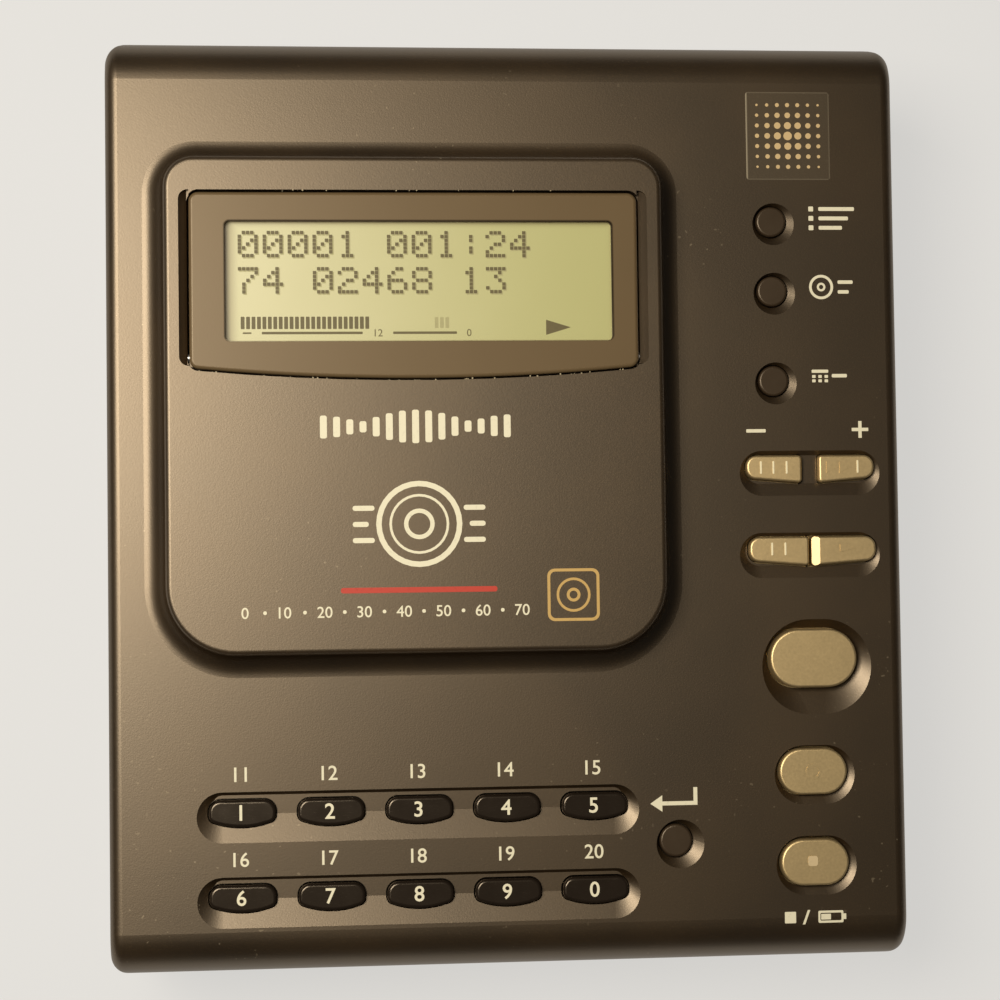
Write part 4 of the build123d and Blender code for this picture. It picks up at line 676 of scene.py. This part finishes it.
def bent_arrow(place):
    """An arrow that comes down and turns to the left."""
    tip, neck, right, rear, barb, half = -3.4, -1.7, 3.3, 2.2, 1.15, 0.28
    outline = np.array(
        [
            [tip, 0.0], [neck, -barb], [neck, -half], [right, -half], [right, rear],
            [right - 2 * half, rear], [right - 2 * half, half], [neck, half], [neck, barb],
        ]
    )
    return [ink(outline, place, deck_z)]


def stop_and_charge_sign(x, y):
    """A square, a slash and a battery that is partly full."""
    slash = np.array([[-0.55, -1.0], [-0.2, -1.0], [0.55, 1.0], [0.2, 1.0]])
    shell = rounded(3.6, 1.7, 0.2)
    hollow = shell * [0.84, 0.64]
    return [
        bar_ink((1.6, 1.6), 0.1, (x, y), deck_z),
        ink(slash, (x + 2.3, y), deck_z),
        band(shell, hollow, (x + 5.8, y), *ink_span(deck_z)),
        bar_ink((0.4, 0.8), 0.05, (x + 7.8, y), deck_z),
        bar_ink((1.4, 0.8), 0.05, (x + 5.1, y), deck_z),
    ]


deck_prints += skip_signs(near("minus_key", (-2.2, 5.48)), near("plus_key", (1.95, 5.58)))
deck_prints += list_sign(*near("track_key", (5.8, 1.85)))
deck_prints += disc_sign(*near("disc_key", (7.1, 0.6)))
deck_prints += calendar_sign(*near("date_key", (6.7, 1.35)))
deck_prints += bent_arrow(near("enter_key", (-0.2, 5.2)))
deck_prints += stop_and_charge_sign(*near("stop_key", (-3.55, -7.75)))
piece("deck_prints", deck_prints, cream_ink, "case")


# ---- prints on the raised block ------------------------------------------------------------------
def sound_wave(x, y):
    """A row of bars whose heights swell and fall as the size of a cosine does, lower at the ends."""
    bars, half_width, tallest = 15, 12.6, 4.6
    prints = []
    for bar in range(bars):
        share = bar / (bars - 1) * 2 - 1
        swell = abs(math.cos(2.6 * share)) * (1 - 0.35 * share * share)
        tall = tallest * (0.28 + 0.72 * swell)
        prints.append(bar_ink((0.95, tall), 0.25, (x + half_width * share, y), block_z))
    return prints


def disc_emblem(x, y):
    """Three rings, with three short lines on either side."""
    rings = ((5.9, 0.75), (4.1, 0.35), (2.1, 0.6))  # radius and stroke
    prints = [ring_ink(radius, stroke, (x, y), block_z) for radius, stroke in rings]
    for side in (-1, 1):
        for line, long in enumerate((3.0, 2.2, 3.0)):
            place = (x + side * (9.1 - long / 2), y + 2.2 * (line - 1))
            prints.append(bar_ink((long, 0.7), 0.3, place, block_z))
    return prints


def minute_scale(left, y):
    """Plain numbers from 0 to 70, with a point between each two."""
    pitch, marks = 5.4, 8
    prints = []
    for mark in range(marks):
        x = left + pitch * mark
        prints.append(figure_ink(str(10 * mark), 1.55, (x, y), block_z, 0.006))
        if mark < marks - 1:
            prints.append(bar_ink((0.5, 0.5), 0.2, (x + pitch / 2, y), block_z))
    return prints


def square_badge(centre):
    """A square frame round two rings."""
    outer = rounded(7.2, 7.2, 1.0)
    inner = rounded(6.4, 6.4, 0.7)
    square_frame = band(outer, inner, centre, *ink_span(block_z))
    return [square_frame, ring_ink(2.35, 0.35, centre, block_z), ring_ink(0.95, 0.4, centre, block_z)]


def on_block(right, rearward):
    """The place in plan that lies this far from the middle of the window's front edge."""
    return window_x + right, window_low[1] + rearward


block_prints = sound_wave(*on_block(-0.2, -6.66))
block_prints += disc_emblem(*on_block(0.15, -20.01))
block_prints += minute_scale(*on_block(-23.65, -31.91))
piece("block_prints", block_prints, cream_ink, "case")
stripe = ink(rounded(21.4, 0.75, 0.3, 4), on_block(0.05, -29.01), block_z)
piece("block_stripe", [stripe], red_ink, "case")
piece("block_badge", square_badge(on_block(21.25, -29.96)), gold_ink, "case")

# ---- clear film with a graded grid of dots -------------------------------------------------------
film_thick = 0.05
film_top = deck_z + film_thick
film_bed = 0.02  # how far the film and its dots reach into what they lie on
film_shape = slab(rounded(*film_size, 0.4), film_place, deck_z - film_bed, film_top)
piece("dot_film", [film_shape], clear_film(), "case")
grid_pitch = 1.48
grid_steps = np.arange(7) - 3.0
grid_x, grid_y = np.meshgrid(grid_steps, grid_steps)
dot_places = np.column_stack([grid_x.ravel(), grid_y.ravel()]) * grid_pitch + film_place
dot_radii = 0.62 - 0.105 * np.hypot(grid_x, grid_y).ravel()
dot_thick = 0.02
grid = dots(dot_places, dot_radii, film_top - film_bed, film_top + dot_thick)
piece("dot_grid", [grid], dot_ink, "case")

# ---- raised signs on the metal keys --------------------------------------------------------------
relief_low = 0.1  # how far a sign reaches into its key
relief_high = 0.07  # how far it stands above it


def raised(outline, key, shift):
    """A low raised sign on a metal key's flat top."""
    top = middle(key)[2]
    return slab(outline, near(key, shift), top - relief_low, top + relief_high)


tick = rounded(0.26, 1.8, 0.1, 3)
wedge = np.array([[-0.85, -0.8], [0.85, 0.0], [-0.85, 0.8]])
long_wedge = wedge * [1.3, 0.7]
plated = finishes["metal_key"]
stop_square = rounded(1.4, 1.4, 0.35)
# the ticks and the stop square wear painted glints, the wedges and the record ring the keys' own plating
key_signs = (  # name, key, outline, places from the key's centre, finish
    ("minus_relief", "minus", tick, ((-1.7, 0.23), (0.1, 0.23), (2.0, 0.23)), painted_glint),
    ("plus_relief", "plus", tick, ((1.35, 0.28),), painted_glint),
    ("pause_relief", "pause", tick, ((-0.84, 0.33), (1.06, 0.33)), painted_glint),
    ("stop_relief", "stop", stop_square, ((-0.35, 0.2),), painted_soft_glint),
    ("plus_arrows", "plus", wedge, ((-2.3, 0.23), (-0.4, 0.23)), plated),
    ("search_arrow", "search", long_wedge, ((0.25, 0.33),), plated),
)
for name, key, outline, shifts, finish in key_signs:
    signs = [raised(outline, key + "_key", shift) for shift in shifts]
    piece(name, signs, finish, key + "_cap")
record_place = middle("record_key")
record_span = (record_place[2] - relief_low, record_place[2] + relief_high / 2)
record_ring = band(circle(1.1), circle(0.8), record_place[:2], *record_span)
piece("record_relief", [record_ring], plated, "record_cap")

# ---- lint caught in the seam round the display ---------------------------------------------------
draw = np.random.default_rng(7)
grain_count = 46
front_share = 0.75  # grains that lie along the display's front edge, the others along its rear
seam_middle = 0.25  # from the display's edge
scatter = 0.07
bow = 1.5  # how far the display's front edge bows out at its middle
grain_x = draw.uniform(window_low[0] + 1.0, window_high[0] - 2.0, grain_count)
off_middle = (grain_x - window_x) / window_half
front_y = window_low[1] - seam_middle + bow * off_middle**2
rear_y = np.full(grain_count, window_high[1] + seam_middle)
grain_y = np.where(draw.random(grain_count) < front_share, front_y, rear_y)
grain_y += draw.normal(0, scatter, grain_count)
grain_radii = draw.uniform(0.04, 0.13, grain_count)
lint = dots(np.column_stack([grain_x, grain_y]), grain_radii, block_z - 0.3, block_z - 0.02, steps=5)
piece("seam_lint", [lint], lint_grey, "case")


# ---- studio, in metres and watts -----------------------------------------------------------------
def studio_floor_finish():
    """Pale matt floor that the camera, glass and metal see at an even brightness, shadow kept."""
    finish = Finish("studio_floor", roughness=0.9, specular_ior_level=0.1, base_color=paint(206, 204, 199))
    seen = finish.node("ShaderNodeLightPath", output="Is Camera Ray")
    outputs = seen.socket.node.outputs
    for name in ("Is Glossy Ray", "Is Transmission Ray"):
        seen = seen.most(Value(finish, outputs[name]))
    even_light = finish.node("ShaderNodeEmission", inputs={"Color": paint(240, 238, 234), "Strength": 1.0})
    painted = Value(finish, finish.shader.outputs["BSDF"])
    blend = finish.node("ShaderNodeMixShader", inputs={0: seen * 0.72, 1: painted, 2: even_light})
    finish.links.new(blend.socket, finish.nodes["Material Output"].inputs["Surface"])
    return finish


def studio_floor(half_width):
    """A level square under the object."""
    mesh = bpy.data.meshes.new("studio_floor")
    plan = ((-1, -1), (1, -1), (1, 1), (-1, 1))
    mesh.from_pydata([(x * half_width, y * half_width, 0.0) for x, y in plan], [], [(0, 1, 2, 3)])
    mesh.materials.append(studio_floor_finish().material)
    ground = bpy.data.objects.new("studio_floor", mesh)
    bpy.context.scene.collection.objects.link(ground)


def lamp(name, place, target, size, power, colour):
    """A square soft box that faces a point."""
    light = bpy.data.lights.new(name, "AREA")
    light.size = size
    light.energy = power
    light.color = colour
    holder = bpy.data.objects.new(name, light)
    holder.location = place
    holder.rotation_euler = (Vector(target) - Vector(place)).to_track_quat("-Z", "Y").to_euler()
    bpy.context.scene.collection.objects.link(holder)


def studio_world(tint, strength, wall_colour):
    """A faint even light, and past the floor's edge a pale wall that the camera alone sees."""
    world = bpy.data.worlds.new("studio")
    world.use_nodes = True
    nodes, links = world.node_tree.nodes, world.node_tree.links
    light = nodes["Background"]
    light.inputs["Color"].default_value = tint
    light.inputs["Strength"].default_value = strength
    wall = nodes.new("ShaderNodeBackground")
    wall.inputs["Color"].default_value = wall_colour
    blend = nodes.new("ShaderNodeMixShader")
    links.new(nodes.new("ShaderNodeLightPath").outputs["Is Camera Ray"], blend.inputs[0])
    links.new(light.outputs[0], blend.inputs[1])
    links.new(wall.outputs[0], blend.inputs[2])
    links.new(blend.outputs[0], nodes["World Output"].inputs["Surface"])
    return world


def camera(place, turn, lens, sensor_width):
    """The camera over the deck, turned by three small angles. Its lens and sensor are in millimetres."""
    view = bpy.data.cameras.new("camera")
    view.sensor_width = sensor_width
    view.lens = lens
    holder = bpy.data.objects.new("camera", view)
    holder.location = place
    holder.rotation_euler = turn
    bpy.context.scene.collection.objects.link(holder)
    return holder


studio_floor(half_width=3.0)
lamp(
    "left_soft_box",
    place=(-0.155, 0.062, 0.40),
    target=(0.0, 0.0, 0.03),
    size=0.17,
    power=1.68,
    colour=(1.0, 0.93, 0.82),
)
bpy.context.scene.world = studio_world(
    tint=(1.0, 0.98, 0.95, 1.0),
    strength=0.05,
    wall_colour=paint(207, 205, 201),
)
bpy.context.scene.camera = camera(
    place=(-0.03174, -0.0128, 0.35745),
    turn=(0.04098, -0.0935, -0.01346),
    lens=82.92,
    sensor_width=36.0,
)
bpy.context.scene.view_settings.view_transform = "Standard"
